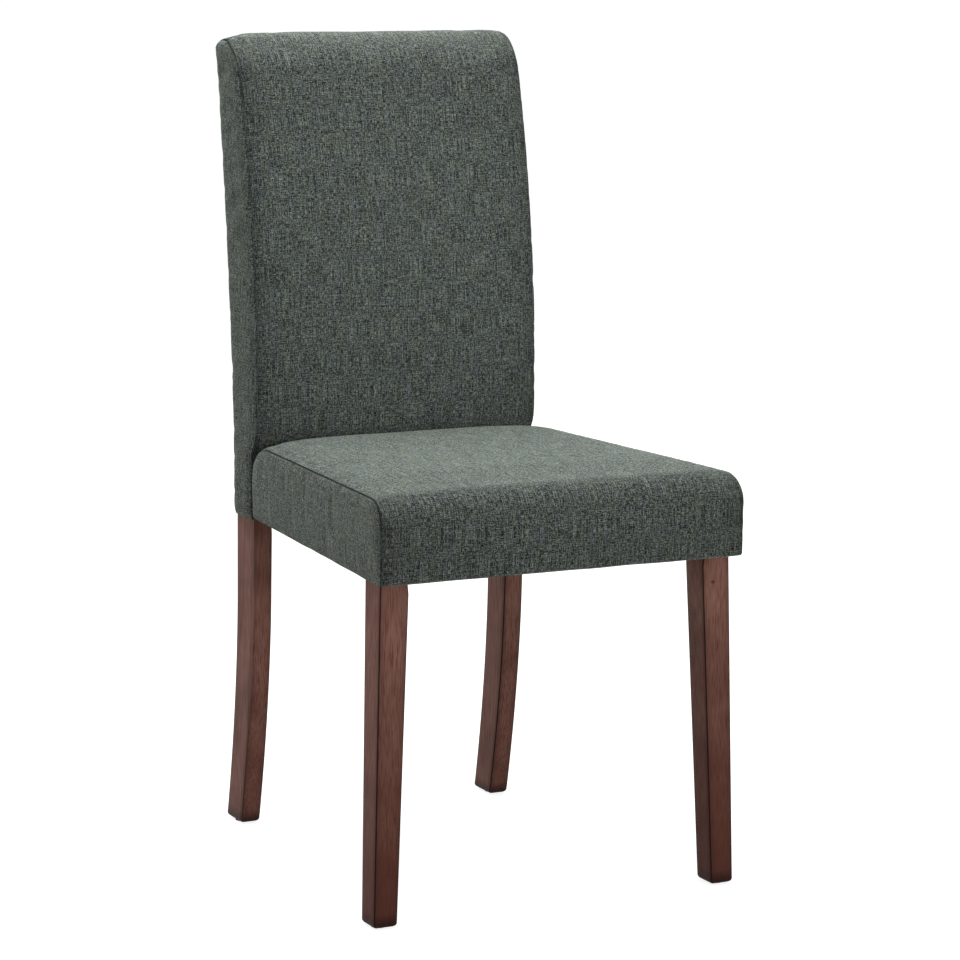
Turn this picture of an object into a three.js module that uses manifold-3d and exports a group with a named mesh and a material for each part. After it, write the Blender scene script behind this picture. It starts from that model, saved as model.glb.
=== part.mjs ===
// An upholstered dining chair: a wooden seat frame on tapered front legs, bolted to a tall
// padded back whose posts run down as swept rear legs.
// Millimetres, +Z up. The chair faces -Y, so its left side in this file is the -X side.

import * as THREE from 'three';
import { mergeVertices } from 'three/addons/utils/BufferGeometryUtils.js';
import Module from 'manifold-3d';

const wasm = await Module();
wasm.setup();

// Seat, as upholstered
const seatFrontWidth = 461;
const seatRearWidth = 379;
const seatDepth = 437;
const seatUnderside = 389;
const seatTop = 482.5;
const seatCrown = 3;
const seatSidePuff = 2.5;
const frontRollDepth = 48;
const frontRollHeight = 38;
const rearRollDepth = 60;
const rearRollHeight = 48;
const seatRearCornerRadius = 10;
const seatHemRadius = 4;
const seatRearDrop = 4;
const seatRearTuck = 6;
const seatRearCrown = 3.2;

// Back, as upholstered
const backWidth = 375;
const backHemDrop = 6;
const backTop = 957;
const backCrown = 2;
const backSidePuff = 1;
const lowerDepth = 51;
const padOverhang = 14.5;
const padFrontLean = 71;
const padStartDrop = 25.5;
const padSwellHeight = 37;
const padLeanDelay = 8;
const rearFaceLean = 66;
const rearLeanStartDrop = 40.5;
const rearLeanStraightShare = 0.45;
const topFrontRadius = 29;
const topRearRadius = 21;
const topCornerRadius = 23;
const hemTuckHeight = 19;
const hemTuckWidth = 2.2;

// Cloth, wadding and padding
const coverThickness = 1.2;
const waddingThickness = 4.4;
const frontPadThickness = 15;
const backSideWadding = 1.7;
const hemReturn = 10;
const panelRingReach = 20;
const dustCoverThickness = 1;
const dustCoverInset = 3;

// Front legs
const frontLegWidth = 33.3;
const frontLegDepth = 38.5;
const frontFootWidth = 26.5;
const frontFootDepth = 32.5;
const frontLegSplay = 9;
const frontLegRake = 13.3;

// Rear posts: leg below the seat, upright inside the back
const rearLegWidth = 23.2;
const rearLegDepth = 47.5;
const rearFootWidth = 22.6;
const rearFootDepth = 42.5;
const rearFootSweep = 31.5;
const rearSweepStart = 287;
const rearSweepPower = 1.8;
const postTopDepth = 31;

// Shared by the legs
const legEdgeRadius = 1.6;
const footChamfer = 2.2;
const taperDrop = 6;

// Seat frame
const railHeight = 50;
const railThickness = 20;
const cornerBlockDepth = 30;
const cornerBlockHeight = 38;
const legCornerChamfer = 10;
const seatBoardThickness = 8;
const ventHoleRadius = 14;
const ventSpreadShare = 0.2;

// Back frame
const crestRailHeight = 42;
const middleRailHeight = 60;
const middleRailShare = 0.487;
const lowerRailHeight = 45;
const lowerRailRise = 19.5;
const baseRailHeight = 52;
const railToPostReduction = 9;
const tenonLength = 16;
const tenonThickness = 11;
const tenonShoulder = 6;
const backBoardThickness = 4;
const backBoardLap = 22;
const rearPanelThickness = 2.4;
const topPadThickness = 9;

// Fasteners and glides
const hangerBoltRadius = 4;
const hangerBoltInLeg = 24;
const hangerBoltTail = 4;
const washerRadius = 9;
const washerThickness = 1.6;
const hangerNutAcrossFlats = 13;
const hangerNutHeight = 6.5;
const seatBoltRadius = 3;
const seatBoltHeadRadius = 6;
const seatBoltHeadHeight = 4;
const seatBoltSocketRadius = 2.2;
const seatBoltSocketDepth = 2.4;
const seatBoltInset = 28.7;
const seatBoltLowerRise = 14;
const seatBoltPitch = 22;
const teeNutBarrelRadius = 4.2;
const teeNutBarrelLength = 12;
const teeNutFlangeRadius = 9.5;
const teeNutFlangeThickness = 1.5;
const glideRadius = 9;
const glideThickness = 1.6;
const glideChamfer = 0.7;
const glideNailRadius = 1.2;
const glideNailLength = 12;

// Fits
const clearance = 0.3;
const holeClearance = 0.3;
const seamGap = 0.5;
const seamInset = 1.2;
const overrun = 10;
const weldDistance = 0.0001;

// Facet counts
const roundSegments = 12;
const rollSegments = 7;
const edgeSegments = 2;

const finishes = {
  legWood: { color: 0x5b3a30, roughness: 0.42, metalness: 0 },
  frameWood: { color: 0xc9a878, roughness: 0.75, metalness: 0 },
  plywood: { color: 0xb8925f, roughness: 0.8, metalness: 0 },
  fibreboard: { color: 0x7a5c3c, roughness: 0.9, metalness: 0 },
  foam: { color: 0xd9d2b0, roughness: 1, metalness: 0 },
  fabric: { color: 0x5d6560, roughness: 0.95, metalness: 0 },
  dustCloth: { color: 0x1b1b1c, roughness: 1, metalness: 0 },
  steel: { color: 0x9a9c9f, roughness: 0.35, metalness: 1 },
  nylon: { color: 0x26231f, roughness: 0.5, metalness: 0 },
};

const chair = new THREE.Group();

function addPart(name, geometry, finish) {
  const mesh = new THREE.Mesh(geometry, new THREE.MeshStandardMaterial(finish));
  mesh.name = name;
  chair.add(mesh);
  return mesh;
}

const sides = [
  { name: 'left', sign: -1 },
  { name: 'right', sign: 1 },
];

// Solids that are cut or joined

function toSolid(geometry) {
  const bare = geometry.clone();
  bare.deleteAttribute('normal');
  bare.deleteAttribute('uv');
  const welded = mergeVertices(bare, weldDistance);
  return new wasm.Manifold(new wasm.Mesh({
    numProp: 3,
    vertProperties: welded.attributes.position.array,
    triVerts: new Uint32Array(welded.index.array),
  }));
}

function fromSolid(solid) {
  const mesh = solid.getMesh();
  const geometry = new THREE.BufferGeometry();
  geometry.setAttribute('position', new THREE.BufferAttribute(mesh.vertProperties, mesh.numProp));
  geometry.setIndex(new THREE.BufferAttribute(mesh.triVerts, 1));
  const faceted = geometry.toNonIndexed();
  faceted.computeVertexNormals();
  return faceted;
}

function cut(geometry, ...tools) {
  const left = tools.reduce((solid, tool) => solid.subtract(toSolid(tool)), toSolid(geometry));
  return fromSolid(left);
}

function join(first, ...others) {
  const whole = others.reduce((solid, other) => solid.add(toSolid(other)), toSolid(first));
  return fromSolid(whole);
}

function keepInside(geometry, tool) {
  return fromSolid(toSolid(geometry).intersect(toSolid(tool)));
}

// The panel itself, without the thin snippets that a slanting cut can leave beside it
function withoutSnippets(geometry) {
  const bodies = toSolid(geometry).decompose();
  bodies.sort((a, b) => b.volume() - a.volume());
  return fromSolid(bodies[0]);
}

// Basic forms

function geometryFrom(points, triangles) {
  const geometry = new THREE.BufferGeometry().setFromPoints(points);
  geometry.setIndex(triangles.flat());
  return geometry;
}

// A closed loft through rings of points. Every ring runs anticlockwise seen from above.
function loft(rings) {
  const count = rings[0].length;
  const triangles = [];
  for (let ring = 0; ring < rings.length - 1; ring += 1) {
    for (let i = 0; i < count; i += 1) {
      const next = (i + 1) % count;
      const low = ring * count;
      const high = low + count;
      triangles.push([low + i, low + next, high + next], [low + i, high + next, high + i]);
    }
  }
  const last = (rings.length - 1) * count;
  for (let i = 1; i < count - 1; i += 1) {
    triangles.push([0, i + 1, i], [last, last + i, last + i + 1]);
  }
  return geometryFrom(rings.flat(), triangles);
}

// A level rounded rectangle between two corners
function roundedRing({ x0, x1, y0, y1, z, radius }) {
  const corners = [
    [x1 - radius, y1 - radius, 0],
    [x0 + radius, y1 - radius, 1],
    [x0 + radius, y0 + radius, 2],
    [x1 - radius, y0 + radius, 3],
  ];
  return corners.flatMap(([x, y, quarter]) => {
    const arc = [];
    for (let i = 0; i <= edgeSegments; i += 1) {
      const angle = (quarter + i / edgeSegments) * Math.PI / 2;
      arc.push(new THREE.Vector3(x + radius * Math.cos(angle), y + radius * Math.sin(angle), z));
    }
    return arc;
  });
}

function shapeFrom(points, holes = []) {
  const shape = new THREE.Shape(points.map(([u, v]) => new THREE.Vector2(u, v)));
  shape.holes.push(...holes);
  return shape;
}

function circlePath(u, v, radius) {
  return new THREE.Path().absarc(u, v, radius, 0, 2 * Math.PI, true);
}

// A plan outline raised from one height to another
function prismUp(points, bottom, top, holes = []) {
  const options = { depth: top - bottom, bevelEnabled: false, curveSegments: roundSegments };
  return new THREE.ExtrudeGeometry(shapeFrom(points, holes), options).translate(0, 0, bottom);
}

// A side outline of (y, z) points, stretched across from -half to half
function prismAcross(points, half) {
  const options = { depth: 2 * half, bevelEnabled: false };
  const geometry = new THREE.ExtrudeGeometry(shapeFrom(points), options);
  const toSideView = new THREE.Matrix4().set(0, 0, 1, -half, 1, 0, 0, 0, 0, 1, 0, 0, 0, 0, 0, 1);
  return geometry.applyMatrix4(toSideView);
}

// A front outline of (x, z) points, stretched from one depth to another
function prismBack(points, near, far) {
  const options = { depth: far - near, bevelEnabled: false };
  const geometry = new THREE.ExtrudeGeometry(shapeFrom(points), options);
  return geometry.rotateX(Math.PI / 2).translate(0, far, 0);
}

function rodAlongY(radius, near, far, x, z) {
  const rod = new THREE.CylinderGeometry(radius, radius, far - near, roundSegments);
  return rod.translate(x, (near + far) / 2, z);
}

function box(x0, x1, y0, y1, z0, z1) {
  const block = new THREE.BoxGeometry(Math.abs(x1 - x0), y1 - y0, z1 - z0);
  return block.translate((x0 + x1) / 2, (y0 + y1) / 2, (z0 + z1) / 2);
}

const lerp = THREE.MathUtils.lerp;

function spaced(first, last, steps) {
  return Array.from({ length: steps + 1 }, (_, i) => lerp(first, last, i / steps));
}

// Quarter turns from 0 to 90 degrees
function quarterAngles(segments) {
  return spaced(0, Math.PI / 2, segments);
}

// How far a round of this radius falls away, a given distance past its start
function roundFall(distance, radius) {
  const reach = THREE.MathUtils.clamp(distance / radius, 0, 1);
  return radius * (1 - Math.sqrt(1 - reach * reach));
}

// Padded forms

// Both padded forms are boxed: a band of cloth runs round the side outline from seam to seam,
// and a panel closes each side. The rise swells the band between its seams, and the puff swells
// the panel inside its seam. An inset shrinks the whole form evenly, for a lining or a filling.
const bandShares = [-1, -0.96, -0.84, -0.5, 0, 0.5, 0.84, 0.96, 1];
const panelRingShares = [0.1, 0.3, 0.62, 1];

function paddedForm(form, inset) {
  const { outline, halfWidth, inward, rise, puff } = form;
  const points = [];
  const triangles = [];
  const place = (x, point) => {
    const shrunk = inward(point, inset);
    points.push(new THREE.Vector3(x - Math.sign(x) * inset, shrunk.x, shrunk.y));
  };
  const count = outline.length;
  const columns = bandShares.length;
  for (const seam of outline) {
    for (const share of bandShares) {
      const swollen = inward(seam, -rise(seam) * (1 - share ** 4));
      place(share * halfWidth(seam), swollen);
    }
  }
  for (let i = 0; i < count; i += 1) {
    const row = i * columns;
    const nextRow = ((i + 1) % count) * columns;
    for (let j = 0; j < columns - 1; j += 1) {
      triangles.push([row + j, row + j + 1, nextRow + j + 1]);
      triangles.push([row + j, nextRow + j + 1, nextRow + j]);
    }
  }
  for (const { sign } of sides) {
    const facing = ([a, b, c]) => (sign < 0 ? [a, b, c] : [a, c, b]);
    let outer = outline.map((_, i) => i * columns + (sign < 0 ? 0 : columns - 1));
    let ring = outline;
    for (const share of panelRingShares) {
      ring = outline.map((seam) => inward(seam, share * panelRingReach));
      const inner = ring.map((_, i) => points.length + i);
      const swell = puff * Math.sqrt(1 - (1 - share) ** 2);
      ring.forEach((point) => place(sign * (halfWidth(point) + swell), point));
      for (let i = 0; i < count; i += 1) {
        const next = (i + 1) % count;
        triangles.push(facing([outer[i], outer[next], inner[next]]));
        triangles.push(facing([outer[i], inner[next], inner[i]]));
      }
      outer = inner;
    }
    for (const [a, b, c] of THREE.ShapeUtils.triangulateShape(ring, [])) {
      const turn = (ring[b].x - ring[a].x) * (ring[c].y - ring[a].y)
        - (ring[b].y - ring[a].y) * (ring[c].x - ring[a].x);
      const ordered = turn < 0 ? [a, b, c] : [a, c, b];
      triangles.push(facing(ordered.map((i) => outer[i])));
    }
  }
  return geometryFrom(points, triangles);
}

// Seat sizes that follow from the ones above

const seatTaper = (seatFrontWidth - seatRearWidth) / 2 / seatDepth;
const seatSkin = coverThickness + clearance;
const seatWrap = seatSkin + waddingThickness + clearance;
const railBottom = seatUnderside + coverThickness + clearance;
const railTop = railBottom + railHeight;
const boardBottom = railTop + clearance;
const boardTop = boardBottom + seatBoardThickness;
const frameRearY = seatDepth - seatRearTuck - seatWrap;

function seatSideX(y) {
  return seatFrontWidth / 2 - seatTaper * y;
}

function frameSideX(y) {
  return seatSideX(y) - seatWrap;
}

function railInnerX(y) {
  return frameSideX(y) - railThickness;
}

const legFrontY = seatSkin + frontPadThickness + clearance;
const legOuterX = frameSideX(legFrontY);
const legInnerX = legOuterX - frontLegWidth;
const legRearY = legFrontY + frontLegDepth;
const frontRailInnerY = legFrontY + railThickness;

function seatTopAt(y) {
  const dropShare = Math.max(0, y - frontRollDepth) / (seatDepth - frontRollDepth);
  return seatTop - seatRearDrop * dropShare;
}

const seatForm = (() => {
  const middle = new THREE.Vector2(seatDepth / 2, (seatTop + seatUnderside) / 2);
  const halfHeight = (seatTop - seatUnderside) / 2;
  const hem = quarterAngles(edgeSegments);
  const roll = quarterAngles(rollSegments);
  const point = (y, z) => new THREE.Vector2(y, z);
  const outline = [
    ...hem.map((t) => point(
      seatHemRadius * (1 - Math.sin(t)),
      seatUnderside + seatHemRadius * (1 - Math.cos(t)),
    )),
    ...roll.map((t) => point(
      frontRollDepth * (1 - Math.cos(t)),
      seatTop - frontRollHeight * (1 - Math.sin(t)),
    )),
    ...spaced(frontRollDepth, seatDepth - rearRollDepth, rollSegments).slice(1, -1)
      .map((y) => point(y, seatTopAt(y))),
    ...roll.map((t) => {
      const y = seatDepth - rearRollDepth * (1 - Math.sin(t));
      return point(y, seatTopAt(y) - rearRollHeight * (1 - Math.cos(t)));
    }),
    ...hem.map((t) => point(
      seatDepth - seatRearTuck - seatHemRadius * (1 - Math.cos(t)),
      seatUnderside + seatHemRadius * (1 - Math.sin(t)),
    )),
  ];
  return {
    outline,
    puff: seatSidePuff,
    rise: ({ x: y, y: z }) => {
      const rearShare = THREE.MathUtils.smoothstep(y, seatDepth - rearRollDepth, seatDepth);
      const fullHeight = seatTop - rearShare * rearRollHeight;
      const heightShare = THREE.MathUtils.smoothstep(z, seatUnderside, fullHeight);
      return heightShare * lerp(seatCrown, seatRearCrown, rearShare);
    },
    halfWidth: ({ x: y }) => {
      const roundStart = seatDepth - seatRearCornerRadius;
      return seatSideX(y) - roundFall(y - roundStart, seatRearCornerRadius);
    },
    inward: ({ x: y, y: z }, distance) => new THREE.Vector2(
      middle.x + (y - middle.x) * (1 - distance / middle.x),
      middle.y + (z - middle.y) * (1 - distance / halfHeight),
    ),
  };
})();

// Back sizes that follow from the ones above

const backHalfWidth = backWidth / 2;
const lowerFrontY = seatDepth + seatRearCrown + clearance;
const padFrontY = lowerFrontY - padOverhang;
const backUnderside = seatUnderside - backHemDrop;
const padLowestHeight = seatTop - padStartDrop;
const padFullHeight = padLowestHeight + padSwellHeight;
const padLeanStart = padFullHeight + padLeanDelay;
const rearLeanStart = seatTop - rearLeanStartDrop;
const rearFaceY = lowerFrontY + lowerDepth;
const rearLegFrontY = lowerFrontY + coverThickness + clearance;
const lowerRailBottom = seatTop + lowerRailRise;
const backBoardBottom = lowerRailBottom - backBoardLap;
const frameTop = backTop - coverThickness - topPadThickness - 2 * clearance;
const rearWrap = coverThickness + rearPanelThickness + 2 * clearance;

function padFront(z) {
  const leanShare = Math.max(0, z - padLeanStart) / (backTop - padLeanStart);
  const padY = padFrontY + padFrontLean * leanShare ** 2;
  const padShare = THREE.MathUtils.smoothstep(z, padLowestHeight, padFullHeight);
  return lerp(lowerFrontY, padY, padShare);
}

function rearFace(z) {
  const leanShare = Math.max(0, z - rearLeanStart) / (backTop - rearLeanStart);
  const bend = rearLeanStraightShare * leanShare + (1 - rearLeanStraightShare) * leanShare ** 2;
  return rearFaceY + rearFaceLean * bend;
}

const hemHeights = spaced(backUnderside, backUnderside + hemTuckHeight, 3);

function backSideX(z) {
  const fall = roundFall(z - (backTop - topCornerRadius), topCornerRadius);
  const tuckShare = Math.max(0, backUnderside + hemTuckHeight - z) / hemTuckHeight;
  return backHalfWidth - fall - hemTuckWidth * tuckShare ** 2;
}

const backForm = (() => {
  const middleZ = (backTop + backUnderside) / 2;
  const halfHeight = (backTop - backUnderside) / 2;
  const middleY = (z) => (padFront(z) + rearFace(z)) / 2;
  const halfDepth = (z) => (rearFace(z) - padFront(z)) / 2;
  const frontHeights = [
    ...hemHeights,
    ...spaced(padLowestHeight, padFullHeight, 4),
    ...spaced(padFullHeight, backTop - topFrontRadius, 9).slice(1),
  ];
  const rearHeights = [
    ...spaced(backTop - topRearRadius, backUnderside + hemTuckHeight, 11),
    ...hemHeights.toReversed().slice(1),
  ];
  const roll = quarterAngles(rollSegments).slice(1);
  const outline = [
    ...frontHeights.map((z) => new THREE.Vector2(padFront(z), z)),
    ...roll.map((t) => {
      const z = backTop - topFrontRadius * (1 - Math.sin(t));
      return new THREE.Vector2(padFront(z) + topFrontRadius * (1 - Math.cos(t)), z);
    }),
    ...roll.reverse().map((t) => {
      const z = backTop - topRearRadius * (1 - Math.sin(t));
      return new THREE.Vector2(rearFace(z) - topRearRadius * (1 - Math.cos(t)), z);
    }),
    ...rearHeights.map((z) => new THREE.Vector2(rearFace(z), z)),
  ];
  return {
    outline,
    puff: backSidePuff,
    rise: ({ y: z }) => backCrown * THREE.MathUtils.smoothstep(z, padLowestHeight, padLeanStart),
    halfWidth: ({ y: z }) => backSideX(z),
    inward: ({ x: y, y: z }, distance) => {
      const shrunkZ = middleZ + (z - middleZ) * (1 - distance / halfHeight);
      const across = (y - middleY(z)) * (1 - distance / halfDepth(z));
      return new THREE.Vector2(middleY(shrunkZ) + across, shrunkZ);
    },
  };
})();

function postRear(z) {
  return rearFace(z) - rearWrap;
}

function postFront(z) {
  const rise = THREE.MathUtils.clamp((z - rearLeanStart) / (frameTop - rearLeanStart), 0, 1);
  const baseDepth = postRear(rearLeanStart) - rearLegFrontY;
  return postRear(z) - lerp(baseDepth, postTopDepth, rise);
}

function boardFront(z) {
  return postFront(z) - clearance - backBoardThickness;
}

const sideWrap = coverThickness + backSideWadding + 2 * clearance;
const postOuterX = backHalfWidth - sideWrap;
const postInnerX = postOuterX - rearLegWidth;

// Bolts that hold the seat to the back, and the holes they need

const rearRailFrontY = frameRearY - railThickness;
const blockDiagonal = cornerBlockDepth * Math.SQRT2;
const rearBlockY = rearRailFrontY - clearance;
const rearBlockX = railInnerX(rearBlockY) - clearance;
const seatBoltX = rearBlockX - blockDiagonal - seatBoltInset;
const seatBoltLowerZ = railBottom + seatBoltLowerRise;
const seatBolts = sides.flatMap(({ name, sign }) => [
  { name: `${name}_lower`, x: sign * seatBoltX, z: seatBoltLowerZ },
  { name: `${name}_upper`, x: sign * seatBoltX, z: seatBoltLowerZ + seatBoltPitch },
]);
const baseRailRearY = postRear(railTop) - railToPostReduction / 2;
const seatBoltHeadY = rearRailFrontY - clearance;
const seatBoltEndY = baseRailRearY;

function seatBoltHoles() {
  return seatBolts.map(({ x, z }) => (
    rodAlongY(seatBoltRadius + holeClearance, seatBoltHeadY, seatBoltEndY + clearance, x, z)
  ));
}

// Hanger bolts that draw each front leg into its corner block

const boltHeight = railBottom + cornerBlockHeight / 2;
const chamferX = legInnerX + legCornerChamfer / 2;
const chamferY = legRearY - legCornerChamfer / 2;

function hangerFrame(sign) {
  const toLeg = new THREE.Vector3(sign, -1, 0).normalize();
  const turn = new THREE.Quaternion().setFromUnitVectors(new THREE.Vector3(0, 0, 1), toLeg);
  const start = new THREE.Vector3(sign * chamferX, chamferY, boltHeight);
  const at = (distance) => start.clone().addScaledVector(toLeg, distance);
  return { turn, at };
}

function hangerHole(sign) {
  const { turn, at } = hangerFrame(sign);
  const radius = hangerBoltRadius + holeClearance;
  const length = hangerBoltInLeg + clearance + cornerBlockDepth + overrun;
  const rod = new THREE.CylinderGeometry(radius, radius, length, roundSegments);
  rod.rotateX(Math.PI / 2).applyQuaternion(turn);
  const { x, y, z } = at(hangerBoltInLeg + clearance - length / 2);
  return rod.translate(x, y, z);
}

function glideHole(x, y) {
  const radius = glideNailRadius + holeClearance;
  const top = glideThickness + glideNailLength + clearance;
  const rod = new THREE.CylinderGeometry(radius, radius, top, roundSegments);
  return rod.rotateX(Math.PI / 2).translate(x, y, top / 2);
}

// Legs and posts

function footRings(foot) {
  const { x0, x1, y0, y1 } = foot;
  const chamfered = {
    x0: x0 + footChamfer,
    x1: x1 - footChamfer,
    y0: y0 + footChamfer,
    y1: y1 - footChamfer,
  };
  return [
    roundedRing({ ...chamfered, z: glideThickness + clearance, radius: legEdgeRadius }),
    roundedRing({ ...foot, z: glideThickness + clearance + footChamfer, radius: legEdgeRadius }),
  ];
}

const frontFoot = {
  x0: legOuterX + frontLegSplay - frontFootWidth,
  x1: legOuterX + frontLegSplay,
  y0: legFrontY - frontLegRake,
  y1: legFrontY - frontLegRake + frontFootDepth,
};

function mirrored(ends, sign) {
  return sign > 0 ? ends : { ...ends, x0: -ends.x1, x1: -ends.x0 };
}

function frontLeg(sign) {
  const top = mirrored({ x0: legInnerX, x1: legOuterX, y0: legFrontY, y1: legRearY }, sign);
  const block = (z) => roundedRing({ ...top, z, radius: legEdgeRadius });
  const blank = loft([
    ...footRings(mirrored(frontFoot, sign)),
    block(seatUnderside - taperDrop),
    block(railTop),
  ]);
  const chamferCut = prismUp([
    [sign * (legInnerX - overrun), legRearY - legCornerChamfer - overrun],
    [sign * (legInnerX + legCornerChamfer + overrun), legRearY + overrun],
    [sign * (legInnerX - overrun), legRearY + overrun],
  ], railBottom, railTop + overrun);
  const footX = sign * (frontFoot.x0 + frontFoot.x1) / 2;
  const footY = (frontFoot.y0 + frontFoot.y1) / 2;
  return cut(blank, chamferCut, hangerHole(sign), glideHole(footX, footY));
}

const rearLegCentreX = postOuterX - rearLegWidth / 2;

function rearLegSection(z) {
  const drop = Math.max(0, rearSweepStart - z) / rearSweepStart;
  const sweep = rearFootSweep * drop ** rearSweepPower;
  const fall = 1 - z / backUnderside;
  const front = rearLegFrontY + sweep;
  const halfWidth = lerp(rearLegWidth, rearFootWidth, fall) / 2;
  return {
    x0: rearLegCentreX - halfWidth,
    x1: rearLegCentreX + halfWidth,
    y0: front,
    y1: front + lerp(rearLegDepth, rearFootDepth, fall),
  };
}

function uprightSection(z) {
  const outer = Math.min(postOuterX, backSideX(z + sideWrap) - sideWrap - clearance);
  return { x0: postInnerX, x1: outer, y0: postFront(z), y1: postRear(z) };
}

const rearFootHeight = glideThickness + clearance + footChamfer;
const rearFoot = rearLegSection(rearFootHeight);

function rearPost(sign) {
  const legHeights = spaced(rearFootHeight, rearSweepStart, 9).slice(1);
  legHeights.push(backUnderside - taperDrop);
  const uprightHeights = [
    backUnderside + hemReturn,
    ...spaced(rearLeanStart, backTop - topCornerRadius, 10),
    ...spaced(backTop - topCornerRadius, frameTop, 2).slice(1),
  ];
  const section = (ends, z) => roundedRing({ ...mirrored(ends, sign), z, radius: legEdgeRadius });
  const blank = loft([
    ...footRings(mirrored(rearFoot, sign)),
    ...legHeights.map((z) => section(rearLegSection(z), z)),
    ...uprightHeights.map((z) => section(uprightSection(z), z)),
  ]);
  const footX = sign * (rearFoot.x0 + rearFoot.x1) / 2;
  const footY = (rearFoot.y0 + rearFoot.y1) / 2;
  const mortises = backRails.map((rail) => tenon(rail, clearance));
  return cut(blank, ...mortises, glideHole(footX, footY));
}

// Rails of the back frame, each with a tenon into both posts

const crestRailBottom = frameTop - crestRailHeight;
const lowerRailTop = lowerRailBottom + lowerRailHeight;
const middleRailSpace = crestRailBottom - lowerRailTop - middleRailHeight;
const middleRailBottom = lowerRailTop + middleRailShare * middleRailSpace;
const backRails = [
  { name: 'back_crest_rail', bottom: crestRailBottom, top: frameTop },
  {
    name: 'back_middle_rail',
    bottom: middleRailBottom,
    top: middleRailBottom + middleRailHeight,
  },
  { name: 'back_lower_rail', bottom: lowerRailBottom, top: lowerRailTop },
  {
    name: 'back_base_rail',
    bottom: backUnderside + coverThickness + clearance,
    top: backUnderside + coverThickness + clearance + baseRailHeight,
  },
];

function railOutline({ bottom, top }, frontInset, rearInset, endInset) {
  const low = bottom + endInset;
  const high = top - endInset;
  return [
    [postFront(low) + frontInset, low],
    [postRear(low) - rearInset, low],
    [postRear(high) - rearInset, high],
    [postFront(high) + frontInset, high],
  ];
}

function tenon(rail, growth) {
  const middle = (rail.bottom + rail.top) / 2;
  const cheek = (postRear(middle) - postFront(middle) - tenonThickness) / 2 - growth;
  const outline = railOutline(rail, cheek, cheek, tenonShoulder - growth);
  return prismAcross(outline, postInnerX + tenonLength + growth);
}

function backRail(rail) {
  const reduction = railToPostReduction / 2;
  const body = prismAcross(
    railOutline(rail, rail.name === 'back_base_rail' ? clearance : reduction, reduction, 0),
    postInnerX - clearance,
  );
  return join(body, tenon(rail, 0));
}

// A thin sheet that follows the back's curve, from one height to another
function curvedSheet(face, thickness, bottom, top, half) {
  const heights = spaced(bottom, top, 10);
  const near = heights.map((z) => [face(z), z]);
  const far = heights.map((z) => [face(z) + thickness, z]).reverse();
  return prismAcross([...near, ...far], half);
}

function makeBackFrame() {
  for (const { name, sign } of sides) {
    addPart(`rear_post_${name}`, rearPost(sign), finishes.legWood);
  }
  for (const rail of backRails) {
    const plain = backRail(rail);
    const isBase = rail.name === 'back_base_rail';
    const geometry = isBase ? cut(plain, ...seatBoltHoles(), ...teeNutPockets()) : plain;
    addPart(rail.name, geometry, finishes.frameWood);
  }
  const boardTopZ = backTop - topCornerRadius;
  const board = curvedSheet(boardFront, backBoardThickness, backBoardBottom, boardTopZ, postOuterX);
  addPart('back_board', board, finishes.plywood);
  const panelFace = (z) => postRear(z) + clearance;
  const panelBottom = backUnderside + hemTuckHeight;
  const panel = curvedSheet(panelFace, rearPanelThickness, panelBottom, boardTopZ, postOuterX);
  addPart('back_rear_panel', panel, finishes.fibreboard);
}

// Seat frame

function makeSeatRails() {
  const front = [
    [-legInnerX + clearance, legFrontY],
    [legInnerX - clearance, legFrontY],
    [legInnerX - clearance, frontRailInnerY],
    [-legInnerX + clearance, frontRailInnerY],
  ];
  addPart('seat_rail_front', prismUp(front, railBottom, railTop), finishes.frameWood);

  const rear = [
    [-frameSideX(rearRailFrontY), rearRailFrontY],
    [frameSideX(rearRailFrontY), rearRailFrontY],
    [frameSideX(frameRearY), frameRearY],
    [-frameSideX(frameRearY), frameRearY],
  ];
  const rearRail = cut(prismUp(rear, railBottom, railTop), ...seatBoltHoles());
  addPart('seat_rail_rear', rearRail, finishes.frameWood);

  const frontEndY = legRearY + clearance;
  const rearEndY = rearRailFrontY - clearance;
  for (const { name, sign } of sides) {
    const plan = [
      [sign * railInnerX(frontEndY), frontEndY],
      [sign * frameSideX(frontEndY), frontEndY],
      [sign * frameSideX(rearEndY), rearEndY],
      [sign * railInnerX(rearEndY), rearEndY],
    ];
    addPart(`seat_rail_${name}`, prismUp(plan, railBottom, railTop), finishes.frameWood);
  }
}

function makeCornerBlocks() {
  const bottom = railBottom;
  const top = bottom + cornerBlockHeight;
  const nearY = frontRailInnerY + clearance;
  const innerReach = railInnerX(0) - clearance;
  const diagonalEndY = (chamferY + blockDiagonal + innerReach - chamferX) / (1 + seatTaper);
  for (const { name, sign } of sides) {
    const front = [
      [legInnerX - clearance, nearY],
      [chamferX + nearY - chamferY - blockDiagonal, nearY],
      [railInnerX(diagonalEndY) - clearance, diagonalEndY],
      [railInnerX(legRearY) - clearance, legRearY + clearance],
      [legInnerX + legCornerChamfer, legRearY + clearance],
      [legInnerX - clearance, legRearY - legCornerChamfer],
    ].map(([x, y]) => [sign * x, y]);
    const frontBlock = cut(prismUp(front, bottom, top), hangerHole(sign));
    addPart(`corner_block_front_${name}`, frontBlock, finishes.frameWood);

    const rearBlockEndY = rearBlockY - blockDiagonal;
    const rear = [
      [rearBlockX, rearBlockY],
      [rearBlockX - blockDiagonal, rearBlockY],
      [railInnerX(rearBlockEndY) - clearance, rearBlockEndY],
    ].map(([x, y]) => [sign * x, y]);
    addPart(`corner_block_rear_${name}`, prismUp(rear, bottom, top), finishes.frameWood);
  }
}

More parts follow.
